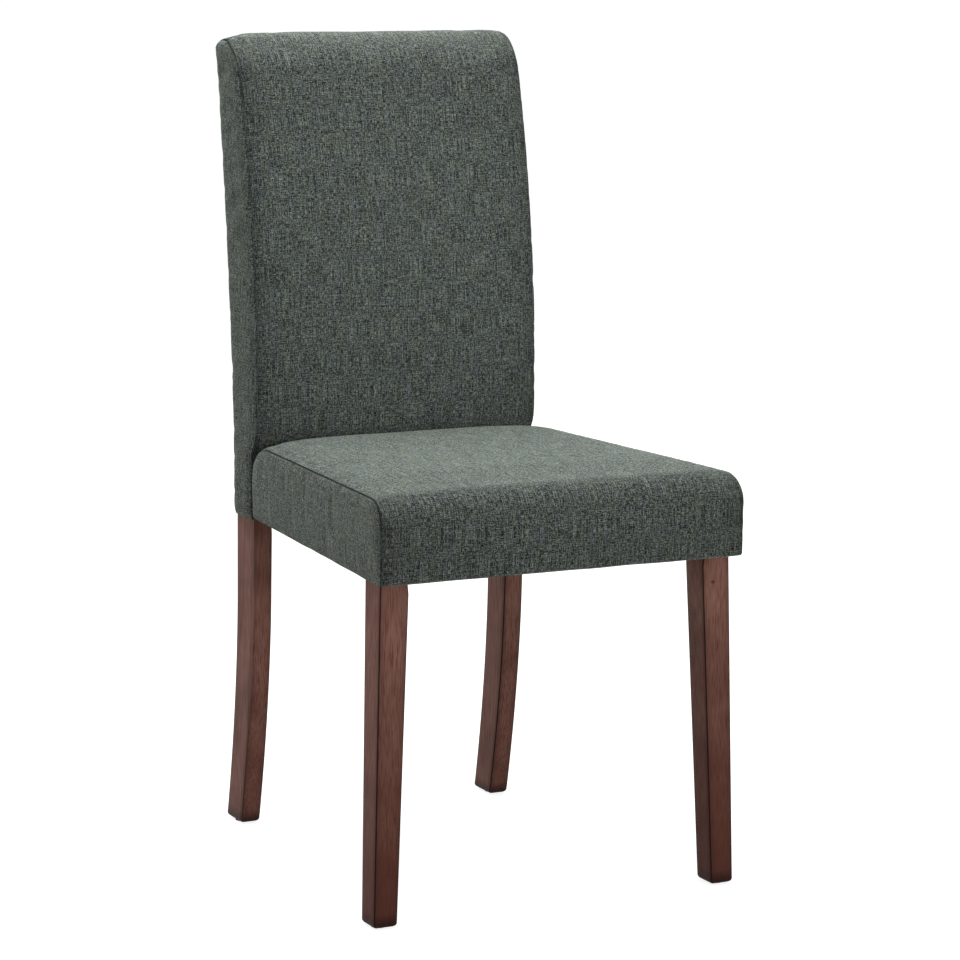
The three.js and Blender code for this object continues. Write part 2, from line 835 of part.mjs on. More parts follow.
function framePlan(growth) {
  const nearY = legFrontY - growth;
  const farY = frameRearY + growth;
  return [
    [-frameSideX(nearY) - growth, nearY],
    [frameSideX(nearY) + growth, nearY],
    [frameSideX(farY) + growth, farY],
    [-frameSideX(farY) - growth, farY],
  ];
}

function makeSeatBoard() {
  const middleY = seatDepth / 2;
  const ventOffset = seatDepth * ventSpreadShare;
  const vents = [
    circlePath(0, middleY, ventHoleRadius),
    circlePath(-ventOffset, middleY - ventOffset, ventHoleRadius),
    circlePath(ventOffset, middleY - ventOffset, ventHoleRadius),
    circlePath(-ventOffset, middleY + ventOffset, ventHoleRadius),
    circlePath(ventOffset, middleY + ventOffset, ventHoleRadius),
  ];
  addPart('seat_board', prismUp(framePlan(0), boardBottom, boardTop, vents), finishes.plywood);
}

// Padding and covers of the seat

function seamPlan(inset) {
  const nearY = -overrun;
  const farY = seatDepth + overrun;
  return [
    [-seatSideX(nearY) + inset, nearY],
    [seatSideX(nearY) - inset, nearY],
    [seatSideX(farY) - inset, farY],
    [-seatSideX(farY) + inset, farY],
  ];
}

function seatHemOpening() {
  const low = seatUnderside - overrun;
  const high = seatUnderside + coverThickness + clearance;
  return [prismUp(framePlan(-hemReturn), low, high), ...legPockets(low, high)];
}

function legPockets(low, high) {
  return sides.map(({ sign }) => box(
    sign * (legInnerX - clearance),
    sign * (legOuterX + clearance),
    legFrontY - clearance,
    legRearY + clearance,
    low,
    high,
  ));
}

function makeSeatPadding() {
  const low = seatUnderside - overrun;
  const frameBlock = prismUp(framePlan(clearance), low, boardTop + clearance);
  const legBlocks = legPockets(low, railTop + clearance);
  const filling = paddedForm(seatForm, seatSkin);
  const foam = cut(filling, frameBlock, ...legBlocks, ...seatBoltHoles());
  addPart('seat_foam', foam, finishes.foam);
}

function makeSeatCovers() {
  const skin = cut(paddedForm(seatForm, 0), paddedForm(seatForm, coverThickness));
  const opened = cut(skin, ...seatHemOpening(), ...seatBoltHoles());
  const low = seatUnderside - overrun;
  const high = seatTop + overrun;
  const band = keepInside(opened, prismUp(seamPlan(seamInset + seamGap), low, high));
  addPart('seat_cover_top', withoutSnippets(band), finishes.fabric);
  for (const { name, sign } of sides) {
    const farX = sign * seatFrontWidth;
    const half = box(0, farX, -overrun, seatDepth + overrun, low, high);
    const panel = keepInside(cut(opened, prismUp(seamPlan(seamInset), low, high)), half);
    addPart(`seat_cover_${name}`, withoutSnippets(panel), finishes.fabric);
  }
}

function makeDustCover() {
  const top = seatUnderside - clearance;
  const nearY = legFrontY + dustCoverInset;
  const farY = frameRearY - dustCoverInset;
  const notchX = legInnerX - legEdgeRadius;
  const notchY = legRearY + legEdgeRadius;
  const half = [
    [notchX, nearY],
    [notchX, notchY],
    [frameSideX(notchY) - dustCoverInset, notchY],
    [frameSideX(farY) - dustCoverInset, farY],
  ];
  const plan = [...half, ...half.map(([x, y]) => [-x, y]).reverse()];
  const cloth = prismUp(plan, top - dustCoverThickness, top);
  addPart('seat_dust_cover', cloth, finishes.dustCloth);
}

// Padding and covers of the back

function backFrameBlock() {
  const boardTopZ = backTop - topCornerRadius;
  const heights = spaced(backBoardBottom, boardTopZ, 10);
  const top = frameTop + clearance;
  const outline = [
    [rearFace(backUnderside) + overrun, backUnderside - overrun],
    [rearFace(backTop) + overrun, top],
    [boardFront(top) - clearance, top],
    ...heights.map((z) => [boardFront(z) - clearance, z]).reverse(),
    [padFrontY - overrun, backBoardBottom],
    [padFrontY - overrun, backUnderside - overrun],
  ];
  return prismAcross(outline, postOuterX + clearance);
}

function makeBackPadding() {
  const filling = paddedForm(backForm, coverThickness + clearance);
  addPart('back_foam', cut(filling, backFrameBlock()), finishes.foam);
}

function backSeamOutline(inset) {
  const heights = [...hemHeights, ...spaced(backTop - topCornerRadius, backTop, rollSegments)];
  const rightSide = [
    [backSideX(backUnderside) - inset, backUnderside - overrun],
    ...heights.map((z) => [backSideX(z) - inset, z]),
    [backSideX(backTop) - inset, backTop + overrun],
  ];
  return [...rightSide, ...rightSide.map(([x, z]) => [-x, z]).reverse()];
}

function postPockets() {
  return sides.map(({ sign }) => box(
    sign * (postInnerX - clearance),
    sign * (postOuterX + clearance),
    rearLegFrontY - clearance,
    rearLegFrontY + rearLegDepth + clearance,
    backUnderside - overrun,
    backUnderside + coverThickness + clearance,
  ));
}

function makeBackCovers() {
  const skin = cut(paddedForm(backForm, 0), paddedForm(backForm, coverThickness));
  const opened = cut(skin, ...postPockets(), ...seatBoltHoles());
  const near = padFrontY - overrun - backCrown;
  const far = rearFace(backTop) + overrun;
  const band = keepInside(opened, prismBack(backSeamOutline(seamInset + seamGap), near, far));

  const rearSeamHeight = backTop - topRearRadius;
  const rearSide = (shift) => prismAcross([
    [rearFace(backUnderside) - rearWrap + shift, backUnderside - overrun],
    [far + overrun, backUnderside - overrun],
    [far + overrun, rearSeamHeight - shift],
    [rearFace(rearSeamHeight) - rearWrap + shift, rearSeamHeight - shift],
    ...spaced(rearSeamHeight, rearLeanStart, 8).slice(1)
      .map((z) => [rearFace(z) - rearWrap + shift, z]),
  ], backWidth);
  const frontPanel = withoutSnippets(cut(band, rearSide(0)));
  const rearPanel = withoutSnippets(keepInside(band, rearSide(seamGap)));
  addPart('back_cover_front', frontPanel, finishes.fabric);
  addPart('back_cover_rear', rearPanel, finishes.fabric);

  for (const { name, sign } of sides) {
    const half = box(0, sign * backWidth, near, far, backUnderside - overrun, backTop + overrun);
    const panel = keepInside(cut(opened, prismBack(backSeamOutline(seamInset), near, far)), half);
    addPart(`back_cover_${name}`, withoutSnippets(panel), finishes.fabric);
  }
}

// Fasteners

function turned(profile) {
  const points = profile.map(([radius, along]) => new THREE.Vector2(radius, along));
  return new THREE.LatheGeometry(points, roundSegments).rotateX(Math.PI / 2);
}

function makeHangerBolts() {
  const washerAt = -cornerBlockDepth - clearance;
  const nutAt = washerAt - washerThickness - clearance;
  const tail = nutAt - hangerNutHeight - hangerBoltTail;
  const bore = circlePath(0, 0, hangerBoltRadius + holeClearance);
  const nutRadius = hangerNutAcrossFlats / Math.sqrt(3);
  const hexagon = Array.from({ length: 6 }, (_, i) => [
    nutRadius * Math.cos(i * Math.PI / 3),
    nutRadius * Math.sin(i * Math.PI / 3),
  ]);
  const disc = new THREE.Shape().absarc(0, 0, washerRadius, 0, 2 * Math.PI, false);
  disc.holes.push(bore);
  const washerOptions = {
    depth: washerThickness,
    bevelEnabled: false,
    curveSegments: roundSegments,
  };
  for (const { name, sign } of sides) {
    const { turn, at } = hangerFrame(sign);
    const shank = turned([
      [0, 0],
      [hangerBoltRadius, 0],
      [hangerBoltRadius, hangerBoltInLeg - tail - hangerBoltRadius],
      [0, hangerBoltInLeg - tail],
    ]);
    const washer = new THREE.ExtrudeGeometry(disc, washerOptions);
    const nut = prismUp(hexagon, 0, hangerNutHeight, [bore]);
    const pieces = [
      [`hanger_bolt_${name}`, shank, tail],
      [`hanger_washer_${name}`, washer, washerAt - washerThickness],
      [`hanger_nut_${name}`, nut, nutAt - hangerNutHeight],
    ];
    for (const [partName, geometry, distance] of pieces) {
      const part = addPart(partName, geometry, finishes.steel);
      part.position.copy(at(distance));
      part.quaternion.copy(turn);
    }
  }
}

function teeNutPockets() {
  const near = baseRailRearY - teeNutBarrelLength - clearance;
  return seatBolts.map(({ x, z }) => (
    rodAlongY(teeNutBarrelRadius + holeClearance, near, baseRailRearY + overrun, x, z)
  ));
}

function makeSeatBolts() {
  const shankLength = seatBoltEndY - seatBoltHeadY;
  for (const { name, x, z } of seatBolts) {
    const bolt = turned([
      [0, seatBoltSocketDepth - seatBoltHeadHeight],
      [seatBoltSocketRadius, seatBoltSocketDepth - seatBoltHeadHeight],
      [seatBoltSocketRadius, -seatBoltHeadHeight],
      [seatBoltHeadRadius, -seatBoltHeadHeight],
      [seatBoltHeadRadius, 0],
      [seatBoltRadius, 0],
      [seatBoltRadius, shankLength],
      [0, shankLength],
    ]);
    const teeNut = turned([
      [seatBoltRadius + holeClearance, -teeNutBarrelLength],
      [teeNutBarrelRadius, -teeNutBarrelLength],
      [teeNutBarrelRadius, clearance],
      [teeNutFlangeRadius, clearance],
      [teeNutFlangeRadius, clearance + teeNutFlangeThickness],
      [seatBoltRadius + holeClearance, clearance + teeNutFlangeThickness],
      [seatBoltRadius + holeClearance, -teeNutBarrelLength],
    ]);
    const placed = [
      [`seat_bolt_${name}`, bolt, seatBoltHeadY],
      [`tee_nut_${name}`, teeNut, baseRailRearY],
    ];
    for (const [partName, geometry, y] of placed) {
      const part = addPart(partName, geometry, finishes.steel);
      part.position.set(x, y, z);
      part.rotation.x = -Math.PI / 2;
    }
  }
}

function makeGlides() {
  const nailTop = glideThickness + glideNailLength;
  const profile = [
    [0, 0],
    [glideRadius - glideChamfer, 0],
    [glideRadius, glideChamfer],
    [glideRadius, glideThickness],
    [glideNailRadius, glideThickness],
    [glideNailRadius, nailTop - glideNailRadius],
    [0, nailTop],
  ];
  for (const { name, sign } of sides) {
    for (const [end, foot] of [['front', frontFoot], ['rear', rearFoot]]) {
      const glide = addPart(`glide_${end}_${name}`, turned(profile), finishes.nylon);
      glide.position.set(sign * (foot.x0 + foot.x1) / 2, (foot.y0 + foot.y1) / 2, 0);
    }
  }
}

for (const { name, sign } of sides) {
  addPart(`front_leg_${name}`, frontLeg(sign), finishes.legWood);
}
makeSeatRails();
makeCornerBlocks();
makeSeatBoard();
makeSeatPadding();
makeSeatCovers();
makeDustCover();
makeBackFrame();
makeBackPadding();
makeBackCovers();
makeHangerBolts();
makeSeatBolts();
makeGlides();

// The origin lies on the floor, under the middle of the chair
const extent = new THREE.Box3().setFromObject(chair);
chair.position.y = -(extent.min.y + extent.max.y) / 2;
const part = new THREE.Group();
part.add(chair);

export default part;
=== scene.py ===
import math
import random

import bmesh
import bpy
import numpy as np
from mathutils import Matrix, Vector, noise
from mathutils.bvhtree import BVHTree
from mathutils.geometry import delaunay_2d_cdt


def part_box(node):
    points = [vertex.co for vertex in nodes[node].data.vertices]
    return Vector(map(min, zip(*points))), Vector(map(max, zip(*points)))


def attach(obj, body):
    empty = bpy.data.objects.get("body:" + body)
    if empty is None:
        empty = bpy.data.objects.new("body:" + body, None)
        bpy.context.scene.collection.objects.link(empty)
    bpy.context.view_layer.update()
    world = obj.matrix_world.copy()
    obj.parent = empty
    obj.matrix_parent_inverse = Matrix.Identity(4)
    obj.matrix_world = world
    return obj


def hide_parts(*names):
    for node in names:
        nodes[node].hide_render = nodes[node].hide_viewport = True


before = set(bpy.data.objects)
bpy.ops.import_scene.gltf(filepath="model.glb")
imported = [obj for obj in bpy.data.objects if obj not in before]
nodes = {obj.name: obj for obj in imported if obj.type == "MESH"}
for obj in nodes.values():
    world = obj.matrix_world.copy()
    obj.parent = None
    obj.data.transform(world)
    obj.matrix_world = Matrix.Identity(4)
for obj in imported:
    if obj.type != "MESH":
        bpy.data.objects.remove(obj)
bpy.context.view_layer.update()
scene = bpy.context.scene
scene.view_settings.view_transform = "Standard"

# ---------------------------------------------------------------- camera, floor and light
# The chair stands on a pale sweep and is seen from its front left through a long lens, from a
# little above the seat. A broad soft lamp hangs overhead, two weaker ones stand at the left and
# in front, and a narrow one brings up the back.

CAMERA_PLACE = Vector((-2.0083, -3.8877, 1.2179))
CAMERA_YAW, CAMERA_PITCH, CAMERA_ROLL = 0.4839, 0.1742, 0.0169


def new_piece(name, data):
    """An object at the origin, in the scene."""
    piece = bpy.data.objects.new(name, data)
    scene.collection.objects.link(piece)
    return piece


camera_data = bpy.data.cameras.new("camera")
camera_data.sensor_fit = "HORIZONTAL"
camera_data.sensor_width = 36
camera_data.lens = 141.44
camera = new_piece("camera", camera_data)
scene.camera = camera
ahead = Vector((
    math.sin(CAMERA_YAW) * math.cos(CAMERA_PITCH),
    math.cos(CAMERA_YAW) * math.cos(CAMERA_PITCH),
    -math.sin(CAMERA_PITCH),
))
level = Vector((math.cos(CAMERA_YAW), -math.sin(CAMERA_YAW), 0))
upward = level.cross(ahead)
turn = Matrix.Rotation(-CAMERA_ROLL, 3, ahead)
axes = Matrix((turn @ level, turn @ upward, -ahead)).transposed()
camera.matrix_world = Matrix.Translation(CAMERA_PLACE) @ axes.to_4x4()


def linear(hex_colour):
    """An sRGB hex colour as linear red, green, blue and alpha."""
    parts = [int(hex_colour[i:i + 2], 16) / 255 for i in (1, 3, 5)]
    return tuple(c / 12.92 if c <= 0.04045 else ((c + 0.055) / 1.055) ** 2.4
                 for c in parts) + (1,)


def add(tree, kind, inputs=None, **settings):
    """Adds a node. A kind without a prefix is that of a shader node.

    Its inputs are values, hex colours, outputs of nodes, or nodes for their main output.
    """
    made = tree.nodes.new(kind if "Node" in kind else f"ShaderNode{kind}")
    for name, value in settings.items():
        setattr(made, name, value)
    for key, value in (inputs or {}).items():
        if isinstance(value, bpy.types.Node):
            value = next(output for output in value.outputs if output.enabled)
        if isinstance(value, bpy.types.NodeSocket):
            tree.links.new(value, made.inputs[key])
        elif isinstance(value, str) and value.startswith("#"):
            made.inputs[key].default_value = linear(value)
        else:
            made.inputs[key].default_value = value
    return made


def new_material(name):
    """An empty material with its node tree."""
    material = bpy.data.materials.new(name)
    material.use_nodes = True
    material.node_tree.nodes.clear()
    return material, material.node_tree


# White sweep: matt and plain. The camera sees it lit through, so that only a trace of shadow
# stays. From beneath it is clear, so that the chair's underside can be looked at.
sweep, tree = new_material("white_sweep")
path = add(tree, "LightPath").outputs
seen = add(tree, "Math", {0: path["Is Camera Ray"], 1: path["Is Glossy Ray"]}, operation="MAXIMUM")
seen = add(tree, "Math", {0: seen, 1: path["Is Transmission Ray"]}, operation="MAXIMUM")
matt = add(tree, "BsdfDiffuse", {"Color": "#bcbcba"})
through = add(tree, "Emission", {"Color": "#ffffff", "Strength": 0.86})
both = add(tree, "AddShader", {0: matt, 1: through})
shown = add(tree, "MixShader", {0: seen, 1: matt, 2: both})
under = add(tree, "NewGeometry").outputs["Backfacing"]
clear = add(tree, "BsdfTransparent")
shown = add(tree, "MixShader", {0: under, 1: shown, 2: clear})
add(tree, "OutputMaterial", {"Surface": shown})

mesh = bpy.data.meshes.new("floor")
mesh.from_pydata([(-40, -40, 0), (40, -40, 0), (40, 40, 0), (-40, 40, 0)], [], [(0, 1, 2, 3)])
mesh.materials.append(sweep)
floor = new_piece("floor", mesh)

world = bpy.data.worlds.new("studio")
world.use_nodes = True
scene.world = world
tree = world.node_tree
tree.nodes.clear()
path = add(tree, "LightPath").outputs
seen = add(tree, "Math", {0: path["Is Camera Ray"], 1: path["Is Transmission Ray"]},
           operation="MAXIMUM")
room = add(tree, "Background", {"Color": "#ffffff", "Strength": 0.37})
white = add(tree, "Background", {"Color": "#ffffff", "Strength": 1.0})
either = add(tree, "MixShader", {0: seen, 1: room, 2: white})
add(tree, "OutputWorld", {"Surface": either})

# each lamp's place, the point it faces, its size in metres, its watts and its spread in degrees
for name, place, aim, size, power, spread in (
    ("overhead", (-0.15, 0.5, 2.9), (0, 0.1, 0.45), 2.0, 78, 180),
    ("left", (-3.0, -0.6, 0.9), (0, 0, 0.5), 1.6, 4, 180),
    ("front", (0.9, -3.4, 0.9), (0, 0, 0.6), 1.6, 21, 180),
    ("back", (0.3, -3.6, 1.2), (0, 0.2, 0.75), 0.5, 0.92, 18),
):
    data = bpy.data.lights.new(name, "AREA")
    data.spread = math.radians(spread)
    data.shape = "SQUARE"
    data.size = size
    data.energy = power
    lamp = new_piece(name, data)
    lamp.location = place
    lamp.rotation_euler = (Vector(aim) - Vector(place)).to_track_quat("-Z", "Y").to_euler()

# ---------------------------------------------------------------- seat frame
# Four sawn and planed rails of pale rubberwood make a box, with a block glued into each corner.
# Nobody sees them once the chair is covered, so they are left raw.

SIDES = (("left", -1), ("right", 1))


def layer(tree, under, over, value, span, shares=(0.0, 1.0)):
    """Lays one colour over another, by shares that follow a value's way across a span."""
    share = add(tree, "MapRange", {
        "Value": value, "From Min": span[0], "From Max": span[1],
        "To Min": shares[0], "To Max": shares[1]})
    return add(tree, "Mix", {0: share, 6: under, 7: over}, data_type="RGBA")


def surface(tree, inputs, height=None, strength=0.0, depth=0.0):
    """Ends a material with its shader, and with the relief that a height gives it."""
    if height is not None:
        inputs["Normal"] = add(tree, "Bump", {
            "Height": height, "Strength": strength, "Distance": depth})
    shader = add(tree, "BsdfPrincipled", inputs)
    add(tree, "OutputMaterial", {"Surface": shader})


def raw_wood(name, along):
    """Planed rubberwood: pale straw with fine darker pores, no finish. Grain runs along an axis."""
    material, tree = new_material(name)
    place = add(tree, "TexCoord").outputs["Object"]
    # growth lines about 4 mm apart and pores about 0.8 mm wide, both drawn out along the grain
    stretch = [250.0, 250.0, 250.0]
    stretch["XYZ".index(along)] = 9.0
    grain = add(tree, "Mapping", {"Vector": place, "Scale": stretch})
    bands = add(tree, "TexNoise", {"Vector": grain, "Scale": 1.0, "Detail": 3.0, "Distortion": 0.6})
    pores = add(tree, "TexNoise", {"Vector": grain, "Scale": 5.0, "Detail": 1.0})
    colour = add(tree, "Mix", {0: bands, 6: "#d9bf92", 7: "#bd9863"}, data_type="RGBA")
    colour = layer(tree, colour, "#8d6a42", pores, (0.62, 0.75), (0.0, 0.55))
    surface(tree, {"Base Color": colour, "Roughness": 0.72, "IOR": 1.5}, bands, 0.35, 0.0003)
    return material


def finish_node(name, material):
    """A carried-over CAD node takes this material in each of its slots."""
    slots = nodes[name].material_slots
    for slot in slots:
        slot.material = material
    if not slots:
        nodes[name].data.materials.append(material)


wood_across = raw_wood("raw_rubberwood_across", "X")
wood_back = raw_wood("raw_rubberwood_front_to_back", "Y")
BACK_RAILS = ("back_crest_rail", "back_middle_rail", "back_lower_rail", "back_base_rail")
for name in ("seat_rail_front", "seat_rail_rear", *BACK_RAILS):
    finish_node(name, wood_across)
for side, _ in SIDES:
    finish_node(f"seat_rail_{side}", wood_back)
    for end in ("front", "rear"):
        finish_node(f"corner_block_{end}_{side}", wood_across)

# ---------------------------------------------------------------- front legs
# Solid rubberwood, tapered from the seat to the foot, splayed a little outwards and raked
# forwards. Stained dark walnut under satin lacquer as far as the cloth, and raw above it.

# Depths are measured from the seat's front, which lies at FRONT, and heights from the floor.
SEAT_WIDE, SEAT_NARROW, SEAT_DEPTH = 0.461, 0.379, 0.437
FRAME_FRONT, SIDE_PAD = 0.0168, 0.0062
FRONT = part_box("seat_rail_front")[0].y - FRAME_FRONT
HEM = 0.389
FOOT_LOW = 0.0019
EDGE_RADIUS, CORNER_STEPS, EDGE_SHADE = 0.0016, 3, 0.0065
CARVE_PLAY = 0.00025


def lerp(a, b, share):
    return a + (b - a) * share


def smooth(value, low, high):
    share = min(1.0, max(0.0, (value - low) / (high - low)))
    return share * share * (3 - 2 * share)


def round_fall(distance, radius):
    """How far a round of this radius falls away, a given distance past its start."""
    reach = min(1.0, max(0.0, distance / radius))
    return radius * (1 - math.sqrt(1 - reach * reach))


def spaced(first, last, steps):
    return [lerp(first, last, i / steps) for i in range(steps + 1)]


def seat_side(y):
    """Half the seat's width, a given distance behind its front."""
    return SEAT_WIDE / 2 - y * (SEAT_WIDE - SEAT_NARROW) / 2 / SEAT_DEPTH


def section_ring(x0, x1, y0, y1, cut=0.0):
    """A rounded rectangle seen from above, anticlockwise. cut takes off its inner rear corner."""
    ring = []
    for x, y, quadrant in ((x1, y1, 0), (x0, y1, 1), (x0, y0, 2), (x1, y0, 3)):
        middle = Vector((x + (EDGE_RADIUS if x == x0 else -EDGE_RADIUS),
                         y + (EDGE_RADIUS if y == y0 else -EDGE_RADIUS)))
        for i in range(CORNER_STEPS + 1):
            angle = (quadrant + i / CORNER_STEPS) * math.pi / 2
            ring.append(middle + EDGE_RADIUS * Vector((math.cos(angle), math.sin(angle))))
        if cut and quadrant == 1:
            for i in range(CORNER_STEPS + 1):
                share = i / CORNER_STEPS
                ring[-1 - CORNER_STEPS + i] = Vector((x + cut * (1 - share), y - cut * share))
    # two more points on each side, a little way in from its corners, where the painted shade along
    # each edge ends
    full = []
    for i, point in enumerate(ring):
        full.append(point)
        if i % (CORNER_STEPS + 1) == CORNER_STEPS:
            side = ring[(i + 1) % len(ring)] - point
            step = side.normalized() * min(EDGE_SHADE, side.length * 0.3)
            full += [point + step, point + side - step]
    return full


def foot_sections(ends):
    """The eased lower edge of a foot, up to its full section."""
    x0, x1, y0, y1 = ends
    return [(FOOT_LOW + rise, section_ring(x0 + inset, x1 - inset, y0 + inset, y1 - inset))
            for inset, rise in ((0.0032, 0.0), (0.0018, 0.0008), (0.0007, 0.002), (0.0, 0.004))]


def shaped(name, bm, material=None, curved=False):
    """A piece made of a bmesh."""
    mesh = bpy.data.meshes.new(name)
    bm.to_mesh(mesh)
    bm.free()
    if material:
        mesh.materials.append(material)
    if curved:
        for face in mesh.polygons:
            face.use_smooth = True
    return new_piece(name, mesh)


def bake(piece):
    """Makes what the modifiers give the piece's own mesh, and removes them."""
    bpy.context.view_layer.update()
    depsgraph = bpy.context.evaluated_depsgraph_get()
    baked = bpy.data.meshes.new_from_object(piece.evaluated_get(depsgraph),
                                            preserve_all_data_layers=True,
                                            depsgraph=depsgraph)
    piece.modifiers.clear()
    old, piece.data = piece.data, baked
    name = old.name
    bpy.data.meshes.remove(old)
    baked.name = name


def grown_copy(name, growth):
    """A merged copy of a CAD node, a little larger all round."""
    bm = bmesh.new()
    bm.from_mesh(nodes[name].data)
    bmesh.ops.remove_doubles(bm, verts=bm.verts, dist=1e-6)
    bmesh.ops.recalc_face_normals(bm, faces=bm.faces)
    bm.normal_update()
    normals = [v.normal.copy() for v in bm.verts]
    for v, normal in zip(bm.verts, normals):
        v.co += normal * growth
    return bm


def add_leg(node, form, sections, sign, let_in):
    """A leg in place of a CAD node, through level sections of (height, ring).

    The CAD nodes that are let in get their holes and mortises, with a little play. The leg's
    edges are kept as an attribute, which darkens them and the faces beside them with painted
    shade.
    """
    bm = bmesh.new()
    arris_shade = bm.verts.layers.float.new("arris_shade")
    rows = []
    for height, ring in sections:
        row = []
        for i, point in enumerate(ring):
            made = bm.verts.new((sign * point.x, point.y + FRONT, height))
            made[arris_shade] = (0.45, 1.0, 1.0, 0.45, 0.0, 0.0)[i % (CORNER_STEPS + 3)]
            row.append(made)
        rows.append(row)
    count = len(rows[0])
    for low, high in zip(rows, rows[1:]):
        for i in range(count):
            j = (i + 1) % count
            bm.faces.new((low[i], low[j], high[j], high[i]))
    bm.faces.new(rows[0][::-1])
    bm.faces.new(rows[-1])
    bmesh.ops.recalc_face_normals(bm, faces=bm.faces)
    leg = shaped(f"{node}_{form}", bm, stained_wood, curved=True)
    leg.data.set_sharp_from_angle(angle=math.radians(32))
    for name in let_in:
        cutter = shaped("cutter", grown_copy(name, CARVE_PLAY))
        boolean = leg.modifiers.new("carve", "BOOLEAN")
        boolean.object = cutter
        boolean.solver = "EXACT"
        bake(leg)
        mesh = cutter.data
        bpy.data.objects.remove(cutter)
        bpy.data.meshes.remove(mesh)
    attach(leg, "root")
    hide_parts(node)


# Stained rubberwood under satin lacquer: red-brown with fine darker grain, a soft sheen, painted
# shade along each edge, a painted highlight up the left rear leg's edge, painted shade at each
# foot's end, and the last of the stain thinning out under the cloth.
stained_wood, tree = new_material("walnut_stained_rubberwood")
place = add(tree, "TexCoord").outputs["Object"]
across, deep, high = add(tree, "SeparateXYZ", {0: place}).outputs
grain = add(tree, "Mapping", {"Vector": place, "Scale": (130, 130, 4.5)})
# growth bands about 8 mm apart and fibre about 1 mm wide, both long drawn, and blotches of 60 mm
bands = add(tree, "TexNoise", {
    "Vector": grain, "Scale": 1.0, "Detail": 4.0, "Roughness": 0.55, "Distortion": 0.5})
fibre = add(tree, "TexNoise", {"Vector": grain, "Scale": 7.5, "Detail": 2.0, "Roughness": 0.6})
cloud = add(tree, "TexNoise", {"Vector": place, "Scale": 16.0, "Detail": 2.0})
colour = add(tree, "Mix", {0: bands, 6: "#986f62", 7: "#785348"}, data_type="RGBA")
colour = layer(tree, colour, "#50291f", fibre, (0.46, 0.66), (0.0, 0.7))
colour = layer(tree, colour, "#563128", cloud, (0.4, 0.65), (0.0, 0.5))
# the colour darkens towards the feet, most on the front legs, and painted shade darkens each foot's
# last 2 cm next to the floor
low_darkening = add(tree, "MapRange", {
    "Value": deep, "From Min": 0.0, "From Max": 0.1, "To Min": 0.9, "To Max": 0.3})
colour = layer(tree, colour, "#542a20", high, (0.0, 0.33), (low_darkening, 0.0))
colour = layer(tree, colour, "#1c0b07", high, (0.005, 0.018), (0.85, 0.0))
# painted shade darkens each face towards its edges, standing in for the shadow beside a rounded
# arris; the edge itself is darkest, a line of stain and painted shade
edge = add(tree, "Attribute", attribute_name="arris_shade").outputs["Fac"]
colour = layer(tree, colour, "#3a1c16", edge, (0.0, 0.45), (0.0, 0.34))
# painted highlight: the left rear leg's edge is paler the higher it is above its bend; elsewhere
# the edge is a dark line of stain and painted shade
edge_highlight = add(tree, "MapRange", {
    "Value": high, "From Min": 0.08, "From Max": 0.25, "To Min": 0.1, "To Max": 0.6})
for value, limit, test in ((deep, 0.1, "GREATER_THAN"), (across, 0.0, "LESS_THAN")):
    within = add(tree, "Math", {0: value, 1: limit}, operation=test)
    edge_highlight = add(tree, "Math", {0: edge_highlight, 1: within}, operation="MULTIPLY")
edge_line = add(tree, "Mix", {0: edge_highlight, 6: "#140706", 7: "#a08274"}, data_type="RGBA")
colour = layer(tree, colour, edge_line, edge, (0.5, 0.8), (0.0, 0.95))
# one small knot on the right leg's front
away = add(tree, "VectorMath", {0: place, 1: (0.2015, -0.262, 0.358)}, operation="SUBTRACT")
away = add(tree, "VectorMath", {0: away, 1: (460, 160, 720)}, operation="MULTIPLY")
away = add(tree, "VectorMath", {0: away}, operation="LENGTH")
colour = layer(tree, colour, "#2a1713", away, (0.6, 1.8), (0.8, 0.0))
# raw wood above the hem
ragged = add(tree, "Math", {0: fibre, 1: 0.02, 2: high}, operation="MULTIPLY_ADD")
bare = add(tree, "Mix", {0: bands, 6: "#d9bf92", 7: "#b58f5c"}, data_type="RGBA")
colour = layer(tree, colour, bare, ragged, (0.405, 0.412))
gloss = add(tree, "MapRange", {
    "Value": fibre, "From Min": 0.3, "From Max": 0.8, "To Min": 0.5, "To Max": 0.62})
surface(tree, {
    "Base Color": colour, "Roughness": gloss, "IOR": 1.5, "Specular IOR Level": 0.08,
    "Coat Weight": 0.02, "Coat Roughness": 0.35}, fibre, 0.25, 0.0002)

# A section is given by its inner and outer side, its front and its rear. Under the cloth's edge
# the leg steps in to the block that fills the corner of the frame.
LEG_OUTER = seat_side(FRAME_FRONT) - SIDE_PAD
LEG_INNER = LEG_OUTER - 0.0333
LEG_REAR = 0.0553
FOOT = (LEG_OUTER + 0.009 - 0.0265, LEG_OUTER + 0.009, 0.0035, 0.036)
BLOCK = (LEG_INNER, LEG_OUTER, FRAME_FRONT, LEG_REAR)
FULLER = 0.0022
TAPER_LOW, TAPER_HIGH, STEP_LOW, STEP_HIGH = 0.0041, 0.383, 0.376, 0.3904

for side, sign in SIDES:
    sections = foot_sections((FOOT[0] - FULLER, *FOOT[1:]))
    for height in spaced(0.0045, TAPER_HIGH, 48)[1:]:
        share = (height - TAPER_LOW) / (TAPER_HIGH - TAPER_LOW)
        ends = [lerp(a, b, share) for a, b in zip(FOOT, BLOCK)]
        ends[0] -= FULLER * (1 - smooth(height, STEP_LOW, STEP_HIGH))
        sections.append((height, section_ring(*ends)))
    sections.append((STEP_HIGH, section_ring(*BLOCK)))
    for height in (0.3905, 0.4405):
        sections.append((height, section_ring(*BLOCK, cut=0.01)))
    add_leg(f"front_leg_{side}", "turned", sections, sign,
            [f"hanger_bolt_{side}", f"glide_front_{side}"])

# ---------------------------------------------------------------- hanger bolts, seat bolts
# Zinc-plated steel: a wood-screw bolt with washer and nut draws each leg into its block, and
# four socket bolts run into tee nuts in the back.

